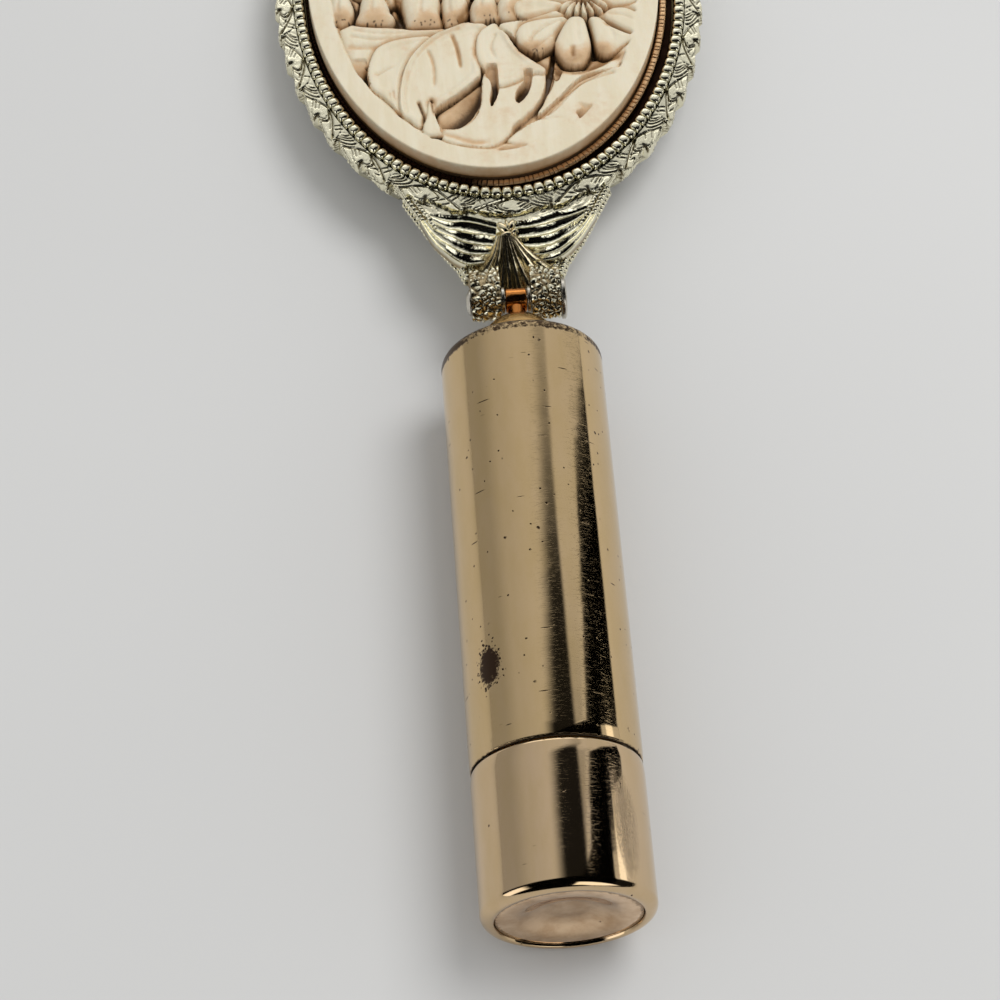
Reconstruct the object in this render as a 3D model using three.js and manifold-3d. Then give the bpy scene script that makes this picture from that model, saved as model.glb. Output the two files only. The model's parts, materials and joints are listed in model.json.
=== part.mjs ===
// A vanity hand mirror whose handle is a lipstick case, lying on its back as it is put down on a table.
//
// The oval head is a cast frame. A carved medallion sits in its front behind a fine serrated collar and a ring
// of beads, and an oval mirror sits in its back. The frame's neck ends in two ears that turn on a riveted pin
// round a copper knuckle. The knuckle stands on a small dome on top of the lipstick's cap. The short base below
// the cap pulls out with the lipstick, and turning the base in its sleeve winds the lipstick up.
//
// Millimetres. X is across the head, Y runs from the base towards the head, and Z is up.

import * as THREE from "three";
import { mergeVertices } from "three/addons/utils/BufferGeometryUtils.js";
import Module from "manifold-3d";

const wasm = await Module();
wasm.setup();

// ---------------------------------------------------------------- driving sizes

const turns = 32; // sides of the large round pieces
const fineTurns = 20; // sides of the small round pieces
const ringStations = 64; // places round the plain oval rings
const plateSegments = 32; // half the sides of an oval plate
const smallSides = 12; // sides of the cup's pins and of the ends of their grooves
const seatGap = 0.1; // between two pieces that are seated on each other
const runGap = 0.3; // between two pieces that turn or slide on each other

// handle tube
const tubeRadius = 9.0;
const capLength = 50.1;
const baseLength = 16.1;
const shellWall = 0.5;
const capCorner = 0.8;
const baseCorner = 1.1;
const partingGap = 0.3; // the dark line between cap and base

// end disc of the base
const discInset = 1.5; // from the shell's side in to the disc
const discThickness = 0.5;
const discRecess = 0.25;
const discFlat = 1.5; // flat ring round the dish
const dishDepth = 0.9;

// lining of the cap
const linerWall = 0.45;
const linerSetBack = 0.6;
const linerHeadroom = 5.0; // from its upper end to the cap's ceiling

// lipstick mechanism
const sleeveLength = 30.0;
const sleeveWall = 0.4;
const spiralWall = 0.7;
const spiralShortfall = 1.2; // the spiral tube ends this far below the sleeve's mouth
const slottedWall = 0.5;
const cupWall = 0.4;
const cupLength = 9.0;
const cupFloor = 0.6;
const cupRestHeight = 3.6; // floor of the cup above the parting line when wound down
const pinRadius = 0.6;
const pinHeight = 1.4; // of the cup's side pins above its floor
const pinClearance = 0.35;
const spiralTurns = 1.25;
const liftTravel = 15.0; // how far the lipstick rises over those turns
const bulletGap = 0.2;
const bulletTipLength = 7.0;
const bulletTipBelowMouth = 0.6;
const bulletTipRound = 2.1;
const plugNeckHeight = 0.9;
const plugFloor = 5.2; // solid part of the plug under the slotted tube
const plugLead = 1.0; // taper at the plug's lower edge

// dome, knuckle and pin
const domeRadius = 5.0;
const domeHeight = 5.7;
const domeWall = 0.5;
const shankRadius = 1.0;
const knuckleRadius = 1.4;
const knuckleWidth = 2.4;
const hingePinRadius = 0.6;
const pinHoleRadius = 0.85;
const rivetHeadRadius = 2.4;
const rivetHeadThickness = 0.55;
const rivetHeadRound = 0.25;
const peenRadius = 1.5;
const peenThickness = 0.5;
const shankPeenRadius = 1.8;
const shankPeenThickness = 0.6;
const backWasherRadius = 3.4;
const backWasherThickness = 0.5;
const springWasherThickness = 0.35;
const springWasherRadius = 1.6;

// ears and neck of the frame
const earRadius = 2.35;
const earWidth = 3.3;
const earDomeGap = 0.05; // from the ears' ends up over the dome's top
const slotDepth = 0.2; // of the slot between the ears, beyond the washers
const neckFront = 1.3; // height of the neck's front over the frame's middle plane
const neckBack = 1.6;
const neckRoot = 1.6; // distance from the pin to where the neck starts
const neckMerge = 0.5; // how far its top runs in under the beads
const neckHalfWidths = [4.9, 6.2, 8.4, 10.1, 11.8]; // at even steps from root to top
const neckBevel = 0.5;
const edgeCordRadius = 0.5; // raised cord along each side of the neck
const edgeCordStart = 1.2; // from the neck's root

// ribbon bow on the neck, and the pleated fan that hangs from its knot
const knotToBeads = 4.2;
const knotRadius = 1.3;
const loopRibs = 4;
const loopReach = 8.4;
const loopShortening = 2.4; // the lowest rib is shorter than the highest by this
const loopSpread = 4.6; // from the highest rib's end to the lowest one's
const loopSag = 0.9;
const loopTopRise = 2.1; // the highest rib's end is this far above the knot
const ribRadius = 0.6;
const fanRibs = 5;
const fanSpread = 7.2;
const fanReach = 6.4;
const fanRound = 1.1; // its outer ribs reach this much further than the middle one
const ribSink = 0.15; // how far the ribs are sunk in the neck

// oval head
const pinToBeads = 14.4; // from the pin to the nearest bead of the ring
const beadOvalX = 23.2; // half axes of the line of the beads
const beadOvalY = 33.4;
const beadCount = 144;
const beadPeak = 0.66;
const beadWaist = 0.42;
const rimWidth = 1.75; // leafy rim outside the recess for the beads
const rimCrest = 1.9; // height of its crest over the frame's middle plane
const rimEdge = 0.7;
const leafCount = 42;
const leafStep = 0.5; // how far each leaf's end stands out past the next
const webThickness = 0.6;
const backDepth = 2.4; // from the middle plane to the back face

// what the front recess holds
const recessWidth = 0.8; // from the bead line out to the recess wall
const padThickness = 0.35;
const collarWall = 0.93; // halfway between its narrow and its wide side
const collarHeight = 1.7;
const collarFall = 0.4; // its top slopes down this much towards the medallion
const medallionGap = 0.12; // between collar and medallion
const medallionLeft = 0.65; // how far the medallion sits to the left of the beads' centre
const medallionUp = 0.35; // and how far from it towards the oval's far end
const medallionThickness = 3.2;
const medallionRim = 2.5;
const carvingDepth = 1.3;
const carvingSink = 0.3; // how deep the leaves are rooted in the field
const leafShoulder = 0.6; // share of a leaf's width that its flat top takes

// what the back recess holds
const mirrorRecessInset = 0.2; // from the bead line in to the wall of the mirror's recess
const mirrorThickness = 1.2;
const mirrorPadThickness = 0.2;
const mirrorBezelWidth = 0.8;
const mirrorLip = 0.5; // how far the bezel's lip reaches over the glass
const mirrorLipRecess = 0.05; // of the lip below the frame's back

// ---------------------------------------------------------------- materials

const finish = (color, roughness, metalness) => new THREE.MeshStandardMaterial({ color, roughness, metalness });
const champagne = finish(0xb89a78, 0.18, 1);
const paleGold = finish(0xcfc9a6, 0.25, 1);
const copper = finish(0xb5622e, 0.2, 1);
const brass = finish(0xc6a05a, 0.3, 1);
const steel = finish(0xc4c2bb, 0.3, 1);
const ivory = finish(0xe9dcc3, 0.55, 0);
const card = finish(0x6b5844, 0.95, 0);
const glass = finish(0xdfe6e8, 0.02, 1);
const creamPlastic = finish(0xe6dfcf, 0.45, 0);
const lipstickRed = finish(0xa5182c, 0.4, 0);

// ---------------------------------------------------------------- making solids

/** A closed geometry as a manifold solid. */
function solid(geometry) {
  const bare = geometry.clone();
  for (const name of Object.keys(bare.attributes)) {
    if (name !== "position") bare.deleteAttribute(name);
  }
  const merged = mergeVertices(bare, 1e-4);
  const made = new wasm.Mesh({
    numProp: 3,
    vertProperties: merged.attributes.position.array,
    triVerts: new Uint32Array(merged.index.array),
  });
  return new wasm.Manifold(made);
}

/** A manifold solid back as a geometry. */
function geometryOf(made) {
  const mesh = made.getMesh();
  const geometry = new THREE.BufferGeometry();
  geometry.setAttribute("position", new THREE.BufferAttribute(new Float32Array(mesh.vertProperties), 3));
  geometry.setIndex(new THREE.BufferAttribute(new Uint32Array(mesh.triVerts), 1));
  geometry.computeVertexNormals();
  return geometry;
}

/** Several solids joined into one. */
const joined = (parts) => parts.reduce((whole, next) => whole.add(next));

/** Twice the signed area of a closed outline. */
const signedArea = (outline) =>
  outline.reduce((sum, [x, y], i) => {
    const [nextX, nextY] = outline[(i + 1) % outline.length];
    return sum + x * nextY - nextX * y;
  }, 0);

/** Turns a closed outline of [radius, y] about the Y axis. */
function lathe(outline, sides = turns) {
  const ordered = signedArea(outline) > 0 ? outline : [...outline].reverse();
  const points = [...ordered, ordered[0]].map(([radius, y]) => new THREE.Vector2(radius, y));
  return new THREE.LatheGeometry(points, sides);
}

/** A plain tube about Y. */
const tube = (inner, outer, low, high, sides = turns) =>
  lathe(
    [
      [inner, low],
      [outer, low],
      [outer, high],
      [inner, high],
    ],
    sides,
  );

/** A round rod along X from x0 to x1. */
function rodAlongX(radius, x0, x1, sides = fineTurns) {
  const rod = new THREE.CylinderGeometry(radius, radius, x1 - x0, sides);
  return rod.rotateZ(Math.PI / 2).translate((x0 + x1) / 2, 0, 0);
}

/** Points on an arc round [x, y], from one angle to another, in degrees. */
function arc(x, y, radius, from, to, steps = 5) {
  return Array.from({ length: steps + 1 }, (_, i) => {
    const angle = THREE.MathUtils.degToRad(from + ((to - from) * i) / steps);
    return [x + radius * Math.cos(angle), y + radius * Math.sin(angle)];
  });
}

/** Evenly spaced places round an oval, each with the direction that points out of it. */
function ovalPlaces(halfX, halfY, count) {
  const curve = new THREE.EllipseCurve(0, 0, halfX, halfY, -Math.PI / 2, 1.5 * Math.PI);
  curve.arcLengthDivisions = 2000;
  return Array.from({ length: count }, (_, i) => {
    const at = curve.getPointAt(i / count);
    const along = curve.getTangentAt(i / count);
    return { at, out: new THREE.Vector2(along.y, -along.x) };
  });
}

/** Joins rows of points into a skin: closed round the rows, and from the last row to the first or with caps. */
function skin(rows, loop) {
  const width = rows[0].length;
  const positions = rows.flat().flatMap((p) => [p.x, p.y, p.z]);
  const faces = [];
  const last = loop ? rows.length : rows.length - 1;
  for (let row = 0; row < last; row++) {
    const next = (row + 1) % rows.length;
    for (let i = 0; i < width; i++) {
      const j = (i + 1) % width;
      faces.push(row * width + i, next * width + i, next * width + j);
      faces.push(row * width + i, next * width + j, row * width + j);
    }
  }
  if (!loop) {
    const end = (rows.length - 1) * width;
    for (let i = 1; i < width - 1; i++) {
      faces.push(0, i, i + 1);
      faces.push(end, end + i + 1, end + i);
    }
  }
  const geometry = new THREE.BufferGeometry();
  geometry.setAttribute("position", new THREE.Float32BufferAttribute(positions, 3));
  geometry.setIndex(faces);
  return geometry;
}

/** Sweeps a section of [outwards, z] points round an oval. The section may change from place to place. */
function ovalRing(halfX, halfY, count, section) {
  const rows = ovalPlaces(halfX, halfY, count).map(({ at, out }, i) =>
    section(i, out).map(([u, z]) => new THREE.Vector3(at.x + out.x * u, at.y + out.y * u, z)),
  );
  return skin(rows, true);
}

/** An oval plate with square edges. */
function ovalPlate(halfX, halfY, low, high) {
  const outline = new THREE.Shape().absellipse(0, 0, halfX, halfY, 0, 2 * Math.PI);
  const plate = new THREE.ExtrudeGeometry(outline, {
    depth: high - low,
    bevelEnabled: false,
    curveSegments: plateSegments,
  });
  return plate.translate(0, 0, low);
}

// ---------------------------------------------------------------- handle

const capInner = tubeRadius - shellWall;
const capTop = capLength;
const capCeiling = capTop - shellWall;
const shankHole = shankRadius + runGap;

/** Long drawn shell with a rounded shoulder and a hole for the knuckle's shank. */
function capShell() {
  const mouth = partingGap / 2;
  return lathe([
    [capInner, mouth],
    [tubeRadius, mouth],
    ...arc(tubeRadius - capCorner, capTop - capCorner, capCorner, 0, 90),
    [shankHole, capTop],
    [shankHole, capCeiling],
    [capInner, capCeiling],
  ]);
}

const linerOuter = capInner - seatGap;
const linerInner = linerOuter - linerWall;
const linerTop = capCeiling - linerHeadroom;

/** Thin friction lining that grips the lipstick's sleeve. */
const capLiner = () => tube(linerInner, linerOuter, linerSetBack, linerTop);

const domeBottom = capTop + seatGap;
const domeTop = domeBottom + domeHeight;

/** Spun dome on the cap's shoulder, open below and with a hole for the shank in its top. */
function domeFerrule() {
  const steps = 6;
  const skinOf = (radius, height) =>
    Array.from({ length: steps + 1 }, (_, i) => {
      const angle = (Math.acos(shankHole / radius) * i) / steps;
      return [radius * Math.cos(angle), domeBottom + height * Math.sin(angle)];
    });
  const outer = skinOf(domeRadius, domeHeight);
  const inner = skinOf(domeRadius - domeWall, domeHeight - domeWall);
  return lathe([...outer, ...inner.reverse()], fineTurns);
}

const pinY = domeTop + earDomeGap + earRadius;
const backWasherTop = capCeiling - seatGap;
const backWasherBottom = backWasherTop - backWasherThickness;
const shankPeenTop = backWasherBottom - seatGap;
const shankPeenBottom = shankPeenTop - shankPeenThickness;

/** Copper knuckle: a cross barrel on a shank that runs through dome and cap and is peened inside. */
function knuckle() {
  const shankTop = pinY - (knuckleRadius + pinHoleRadius) / 2;
  const shank = lathe(
    [
      [0, shankPeenBottom],
      [shankPeenRadius, shankPeenBottom],
      [shankPeenRadius, shankPeenTop],
      [shankRadius, shankPeenTop],
      [shankRadius, shankTop],
      [0, shankTop],
    ],
    fineTurns,
  );
  const barrel = rodAlongX(knuckleRadius, -knuckleWidth / 2, knuckleWidth / 2).translate(0, pinY, 0);
  const bore = rodAlongX(pinHoleRadius, -knuckleWidth, knuckleWidth).translate(0, pinY, 0);
  return geometryOf(solid(shank).add(solid(barrel)).subtract(solid(bore)));
}

/** Washer inside the cap, under the peened end of the shank. */
const backWasher = () => tube(shankHole, backWasherRadius, backWasherBottom, backWasherTop, fineTurns);

// ---------------------------------------------------------------- lipstick mechanism

const sleeveOuter = linerInner - runGap;
const sleeveInner = sleeveOuter - sleeveWall;
const spiralOuter = sleeveInner - seatGap;
const spiralInner = spiralOuter - spiralWall;
const slottedOuter = spiralInner - runGap;
const slottedInner = slottedOuter - slottedWall;
const cupOuter = slottedInner - runGap;
const cupInner = cupOuter - cupWall;
const bulletRadius = cupInner - bulletGap;
const sleeveTop = sleeveLength;
const spiralTop = sleeveTop - spiralShortfall;
const pinRestY = cupRestHeight + pinHeight;
const slotHalf = pinRadius + pinClearance;

const baseEnd = -baseLength;
const baseTop = -partingGap / 2;
const discFace = baseEnd + discRecess;
const discBack = discFace + discThickness;
const discRadius = tubeRadius - discInset;
const dishRadius = discRadius - discFlat;
const rimLip = discRadius + seatGap;
const plugBottom = discBack + dishDepth + seatGap;
const plugSocketFloor = plugBottom + plugFloor;
const slottedBottom = plugSocketFloor + seatGap;

/** Sleeve that stays still while the base turns. */
const caseSleeve = () => tube(sleeveInner, sleeveOuter, runGap, sleeveTop);

/** A bar bent into a helix, which cuts one of the two grooves. */
function helixBar(startAngle) {
  const stepsPerTurn = 12;
  const steps = Math.round(spiralTurns * stepsPerTurn);
  const rows = Array.from({ length: steps + 1 }, (_, i) => {
    const share = i / steps;
    const angle = startAngle + share * spiralTurns * 2 * Math.PI;
    const y = pinRestY + share * liftTravel;
    const corners = [
      [spiralInner - runGap, -slotHalf],
      [spiralOuter + runGap, -slotHalf],
      [spiralOuter + runGap, slotHalf],
      [spiralInner - runGap, slotHalf],
    ];
    return corners.map(
      ([radius, rise]) => new THREE.Vector3(radius * Math.sin(angle), y + rise, radius * Math.cos(angle)),
    );
  });
  return skin(rows, false);
}

/** Room for a pin where a groove ends. */
function grooveEnd(angle, y) {
  const end = new THREE.CylinderGeometry(slotHalf, slotHalf, spiralOuter + runGap, smallSides);
  end.rotateX(Math.PI / 2).translate(0, 0, (spiralOuter + runGap) / 2).rotateY(angle);
  return end.translate(0, y, 0);
}

/** Tube with two spiral slots, fixed inside the sleeve. */
function spiralTube() {
  let made = solid(tube(spiralInner, spiralOuter, runGap * 2, spiralTop));
  for (const start of [0, Math.PI]) {
    made = made.subtract(solid(helixBar(start)));
    made = made.subtract(solid(grooveEnd(start, pinRestY)));
    made = made.subtract(solid(grooveEnd(start + spiralTurns * 2 * Math.PI, pinRestY + liftTravel)));
  }
  return geometryOf(made);
}

/** Tube with two straight slots that turns with the base. Its rim keeps the spiral tube on. */
function slottedTube() {
  const rimBottom = spiralTop + runGap;
  const rimTop = rimBottom + slottedWall;
  const body = lathe([
    [slottedInner, slottedBottom],
    [slottedOuter, slottedBottom],
    [slottedOuter, rimBottom],
    [spiralOuter - runGap, rimBottom],
    [spiralOuter - runGap, rimTop],
    [slottedInner, rimTop],
  ]);
  const slot = new THREE.BoxGeometry(slotHalf * 2, liftTravel + slotHalf * 2, slottedOuter * 3);
  slot.translate(0, pinRestY + liftTravel / 2, 0);
  return geometryOf(solid(body).subtract(solid(slot)));
}

/** Cup that holds the lipstick, with a pin at each side. */
function carrierCup() {
  const cup = lathe(
    [
      [0, cupRestHeight],
      [cupOuter, cupRestHeight],
      [cupOuter, cupRestHeight + cupLength],
      [cupInner, cupRestHeight + cupLength],
      [cupInner, cupRestHeight + cupFloor],
      [0, cupRestHeight + cupFloor],
    ],
    fineTurns,
  );
  const pinReach = spiralOuter - seatGap;
  const pinRoot = cupInner + cupWall / 2;
  const pin = (side) => {
    const rod = new THREE.CylinderGeometry(pinRadius, pinRadius, pinReach - pinRoot, smallSides);
    return rod.rotateX(Math.PI / 2).translate(0, pinRestY, (side * (pinReach + pinRoot)) / 2);
  };
  return geometryOf(joined([solid(cup), solid(pin(1)), solid(pin(-1))]));
}

/** Lipstick with the slanted tip of a moulded bullet. */
function lipstickBullet() {
  const bottom = cupRestHeight + cupFloor + seatGap;
  const tip = sleeveTop - bulletTipBelowMouth;
  const stick = lathe(
    [
      [0, bottom],
      [bulletRadius, bottom],
      ...arc(bulletRadius - bulletTipRound, tip - bulletTipRound, bulletTipRound, 0, 90),
      [0, tip],
    ],
    fineTurns,
  );
  const slant = new THREE.BoxGeometry(bulletRadius * 4, bulletTipLength * 4, bulletTipLength * 2);
  const angle = Math.atan2(bulletRadius * 2, bulletTipLength);
  slant.translate(0, 0, bulletTipLength).rotateX(-angle);
  slant.translate(0, tip, -bulletRadius);
  return geometryOf(solid(stick).subtract(solid(slant)));
}

// ---------------------------------------------------------------- base

/** Short drawn shell, rolled in round the end disc. */
function baseShell() {
  const lipTop = discBack + seatGap + shellWall;
  return lathe([
    [capInner, baseTop],
    [tubeRadius, baseTop],
    ...arc(tubeRadius - baseCorner, baseEnd + baseCorner, baseCorner, 0, -90),
    [rimLip, baseEnd],
    [rimLip, lipTop],
    [capInner, lipTop],
  ]);
}

/** Dished disc that closes the base. */
function endDisc() {
  const dishSteps = 4;
  const dish = (thickness) =>
    Array.from({ length: dishSteps + 1 }, (_, i) => {
      const share = i / dishSteps;
      const sink = dishDepth * (1 - Math.cos((share * Math.PI) / 2) ** 2);
      return [dishRadius * (1 - share), discFace + thickness + sink];
    });
  return lathe([[discRadius, discFace], ...dish(0), ...dish(discThickness).reverse(), [discRadius, discBack]]);
}

/** Moulded plug that joins the shell to the slotted tube. */
function basePlug() {
  const plugOuter = capInner - seatGap;
  const shoulder = baseTop - plugNeckHeight;
  const socket = slottedOuter + seatGap;
  return lathe([
    [0, plugBottom],
    [plugOuter - plugLead, plugBottom],
    [plugOuter, plugBottom + plugLead],
    [plugOuter, shoulder],
    [sleeveOuter, shoulder],
    [sleeveOuter, 0],
    [socket, 0],
    [socket, plugSocketFloor],
    [0, plugSocketFloor],
  ]);
}

// ---------------------------------------------------------------- head, in the pin's own frame

const ovalCentre = pinToBeads + beadOvalY;
const neckTop = pinToBeads + neckMerge;
const knotFromPin = pinToBeads - knotToBeads;
const slotReach = springWasherRadius + slotDepth;
const inset = (by) => [beadOvalX + by, beadOvalY + by];
const webHalf = webThickness / 2;
const recess = inset(recessWidth);
const mirrorRecess = inset(-mirrorRecessInset);

/** Leafy rim round the oval: each leaf swells towards its tip and then steps back to the next one. */
function leafyRim() {
  const swell = [1, 0.7, 0];
  const stations = leafCount * swell.length;
  return ovalRing(beadOvalX, beadOvalY, stations, (i) => {
    const fromNeck = Math.min(i, stations - i);
    const outside = recessWidth + rimWidth + leafStep * swell[fromNeck % swell.length];
    return [
      [-recessWidth, -backDepth],
      [outside - rimEdge, -backDepth],
      [outside, 0],
      [(recessWidth + outside) / 2, rimCrest],
      [recessWidth, rimCrest],
      [recessWidth, -webHalf],
      [-recessWidth, -webHalf],
    ];
  });
}

/** Half width of the neck at a distance from the pin. */
function neckHalfWidth(y) {
  const share = ((y - neckRoot) / (neckTop - neckRoot)) * (neckHalfWidths.length - 1);
  const low = Math.min(Math.floor(share), neckHalfWidths.length - 2);
  return THREE.MathUtils.lerp(neckHalfWidths[low], neckHalfWidths[low + 1], share - low);
}

/** Slab of the neck, which spreads from the ears to the oval. */
function neckSlab() {
  const steps = neckHalfWidths.length - 1;
  const side = Array.from({ length: steps + 1 }, (_, i) => {
    const y = THREE.MathUtils.lerp(neckRoot, neckTop, i / steps);
    return [neckHalfWidth(y), y];
  });
  const outline = [...side, ...side.map(([x, y]) => [-x, y]).reverse()];
  const shape = new THREE.Shape(outline.map(([x, y]) => new THREE.Vector2(x, y)));
  const slab = new THREE.ExtrudeGeometry(shape, {
    depth: neckFront + neckBack - 2 * neckBevel,
    bevelThickness: neckBevel,
    bevelSize: neckBevel,
    bevelOffset: -neckBevel,
    bevelSegments: 1,
    curveSegments: 1,
  });
  return slab.translate(0, 0, -neckBack + neckBevel);
}

const earInner = knuckleWidth / 2 + springWasherThickness + 2 * seatGap;
const earOuter = earInner + earWidth;

/** One ear, round about the pin and square where it runs into the neck. */
function ear(side) {
  const length = neckRoot + neckBevel * 2;
  const block = new THREE.BoxGeometry(earWidth, length, earRadius * 2);
  block.translate(0, length / 2, 0);
  const round = rodAlongX(earRadius, -earWidth / 2, earWidth / 2);
  const centre = side * (earInner + earWidth / 2);
  return solid(block)
    .add(solid(round))
    .translate([centre, 0, 0]);
}

/** A rounded rib on the neck's front, bent through points of [x, y]. It stands less at its two ends. */
function rib(points, radius) {
  const crown = neckFront + radius - ribSink * 2;
  const foot = crown - radius / 2;
  const path = points.map(([x, y], i) => new THREE.Vector3(x, y, i > 0 && i < points.length - 1 ? crown : foot));
  const section = new THREE.Shape().absarc(0, 0, radius, 0, 2 * Math.PI);
  return new THREE.ExtrudeGeometry(section, {
    extrudePath: new THREE.CatmullRomCurve3(path),
    steps: 5,
    curveSegments: 3,
  });
}

/** Ribbon bow, the pleated fan under its knot and the cords along the neck's sides. */
function neckOrnament() {
  const parts = [];
  for (const side of [1, -1]) {
    for (let i = 0; i < loopRibs; i++) {
      const share = i / (loopRibs - 1);
      const reach = loopReach - loopShortening * share;
      const tipY = knotFromPin + loopTopRise - loopSpread * share;
      parts.push([
        [side * (knotRadius / 2), knotFromPin],
        [side * (reach / 2), (knotFromPin + tipY) / 2 - loopSag * share],
        [side * reach, tipY],
      ]);
    }
  }
  const fan = Array.from({ length: fanRibs }, (_, i) => {
    const side = (2 * i) / (fanRibs - 1) - 1;
    const lean = (fanSpread / 2) * side;
    const start = knotFromPin - knotRadius / 2;
    const end = knotFromPin - fanReach - fanRound * Math.abs(side);
    return [
      [0, start],
      [lean / 2, (start + end) / 2],
      [lean, end],
    ];
  });
  const cords = [1, -1].map((side) => {
    const low = neckRoot + edgeCordStart;
    const high = neckTop - edgeCordStart;
    return [low, (low + high) / 2, high].map((y) => [side * (neckHalfWidth(y) - edgeCordRadius), y]);
  });
  const knot = new THREE.SphereGeometry(knotRadius, 10, 6).translate(0, knotFromPin, neckFront);
  return joined([
    ...[...parts, ...fan].map((points) => solid(rib(points, ribRadius))),
    ...cords.map((points) => solid(rib(points, edgeCordRadius))),
    solid(knot),
  ]);
}

/** The whole casting: rim, web between the two recesses, neck, bow and ears. */
function headFrame() {
  const toOval = (geometry) => solid(geometry).translate([0, ovalCentre, 0]);
  const rim = toOval(leafyRim());
  const web = toOval(ovalPlate(...inset(0), -webHalf, webHalf));
  const front = toOval(ovalPlate(...recess, webHalf, rimCrest + ribRadius * 4));
  const back = toOval(ovalPlate(...mirrorRecess, -backDepth * 2, -webHalf));
  const neck = solid(neckSlab()).add(neckOrnament()).subtract(front).subtract(back);
  const ears = ear(1).add(ear(-1));
  const slot = new THREE.BoxGeometry(earInner * 2, slotReach * 2, earRadius * 4);
  const hole = rodAlongX(pinHoleRadius, -earOuter * 2, earOuter * 2);
  const body = joined([rim, web, neck, ears]).subtract(back);
  return geometryOf(body.subtract(solid(slot)).subtract(solid(hole)));
}

const frontFloor = webHalf + seatGap;
const collarOuter = -(beadPeak + seatGap);

/** Ring of beads: it stands high and wide at each bead and drops to a waist between two. */
const beadedBezel = () =>
  ovalRing(beadOvalX, beadOvalY, beadCount * 2, (i) => {
    const half = i % 2 ? beadWaist : beadPeak;
    return [
      [half, frontFloor],
      [half, rimCrest],
      [0, rimCrest + half],
      [-half, rimCrest],
      [-half, frontFloor],
    ];
  });

const collarInner = collarOuter - collarWall;

/** Low collar round the medallion, with its top sloping inwards. Its inner edge follows the medallion. */
const serratedCollar = () =>
  ovalRing(beadOvalX, beadOvalY, ringStations, (i, out) => {
    const inner = collarInner - out.x * medallionLeft + out.y * medallionUp;
    return [
      [inner, frontFloor],
      [collarOuter, frontFloor],
      [collarOuter, frontFloor + collarHeight],
      [inner, frontFloor + collarHeight - collarFall],
    ];
  });

/** Moves what sits inside the collar a little off the beads' centre. */
const offCentre = (geometry) => geometry.translate(-medallionLeft, medallionUp, 0);

const medallionHalf = inset(collarInner - medallionGap);
const padHalf = inset(collarInner - seatGap);
const padTop = frontFloor + padThickness;
const medallionBottom = padTop + seatGap;
const medallionTop = medallionBottom + medallionThickness;
const carvingFloor = medallionTop - carvingDepth;

/** A leaf or petal: a low form with a flat top over a pointed outline, rooted in the medallion's field. */
function leaf(x, y, length, width, degrees, height) {
  const rows = 5;
  const places = Array.from({ length: rows }, (_, i) => {
    const share = i / (rows - 1);
    const half = Math.max((width / 2) * Math.sin(Math.PI * share) ** 0.8, seatGap);
    const top = height * Math.min(1, half);
    const section = [
      [-half, -carvingSink],
      [half, -carvingSink],
      [half * leafShoulder, top],
      [-half * leafShoulder, top],
    ];
    return section.map(([across, z]) => new THREE.Vector3(across, (share - 0.5) * length, z));
  });
  const made = skin(places, false);
  return solid(made.rotateZ(THREE.MathUtils.degToRad(degrees)).translate(x, y, carvingFloor));
}

/** Open blossom of pointed petals round a button. */
function blossom(x, y, radius, petals, height) {
  const parts = Array.from({ length: petals }, (_, i) => {
    const degrees = (360 / petals) * i;
    const turn = THREE.MathUtils.degToRad(degrees);
    const centre = [x - (Math.sin(turn) * radius) / 2, y + (Math.cos(turn) * radius) / 2];
    return leaf(...centre, radius, radius * 0.62, degrees, height);
  });
  const button = new THREE.SphereGeometry(radius * 0.3, 8, 6).translate(x, y, carvingFloor + height / 2);
  return [...parts, solid(button)];
}

/** Oval medallion: a plain rim round a sunk field of blossoms and leaves. */
function medallion() {
  const field = [medallionHalf[0] - medallionRim, medallionHalf[1] - medallionRim];
  const disc = solid(ovalPlate(...medallionHalf, medallionBottom, medallionTop));
  const sunk = solid(ovalPlate(...field, carvingFloor, medallionTop + carvingDepth));
  // places as shares of the field's half axes, then length, width, turn in degrees and height
  const leaves = [
    [-0.45, -0.29, 19, 4.5, 90, 0.9],
    [-0.59, -0.53, 15, 7.0, -30, 0.8],
    [-0.33, -0.59, 16.5, 8.0, -11, 1.1],
    [0.05, -0.65, 11, 2.8, 8, 0.8],
    [0.24, -0.63, 12, 2.4, -24, 0.9],
    [0.38, -0.73, 17, 2.2, -54, 1.0],
    [0.61, -0.69, 12, 5.5, -42, 0.7],
    [-0.7, 0.07, 9, 5.0, 8, 0.7],
    [-0.5, 0.53, 14, 7.0, 42, 0.9],
    [0.45, 0.56, 14, 6.5, -40, 0.9],
    [0.0, 0.76, 9, 5.0, 85, 0.7],
  ];
  const flowers = [
    [-0.26, 0.12, 9.0, 9, 1.1],
    [0.54, -0.18, 7.0, 8, 1.0],
  ];
  const onField = ([x, y, ...sizes]) => [x * field[0], y * field[1], ...sizes];
  const carved = joined([
    ...leaves.map((values) => leaf(...onField(values))),
    ...flowers.flatMap((values) => blossom(...onField(values))),
  ]);
  const reach = field.map((half) => half + carvingSink);
  const room = solid(ovalPlate(...reach, carvingFloor - carvingSink / 2, medallionTop - seatGap));
  return geometryOf(disc.subtract(sunk).add(carved.intersect(room)));
}

/** Card under the medallion. */
const medallionPad = () => ovalPlate(...padHalf, frontFloor, padTop);

const mirrorTop = -webHalf - seatGap;
const mirrorPadBottom = mirrorTop - mirrorPadThickness;
const mirrorFront = mirrorPadBottom - seatGap;
const mirrorFace = mirrorFront - mirrorThickness;
const bezelOuter = -mirrorRecessInset - seatGap;
const bezelInner = bezelOuter - mirrorBezelWidth;
const mirrorHalf = inset(bezelInner - seatGap);

/** Card behind the mirror. */
const mirrorPad = () => ovalPlate(...mirrorHalf, mirrorPadBottom, mirrorTop);

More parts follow.
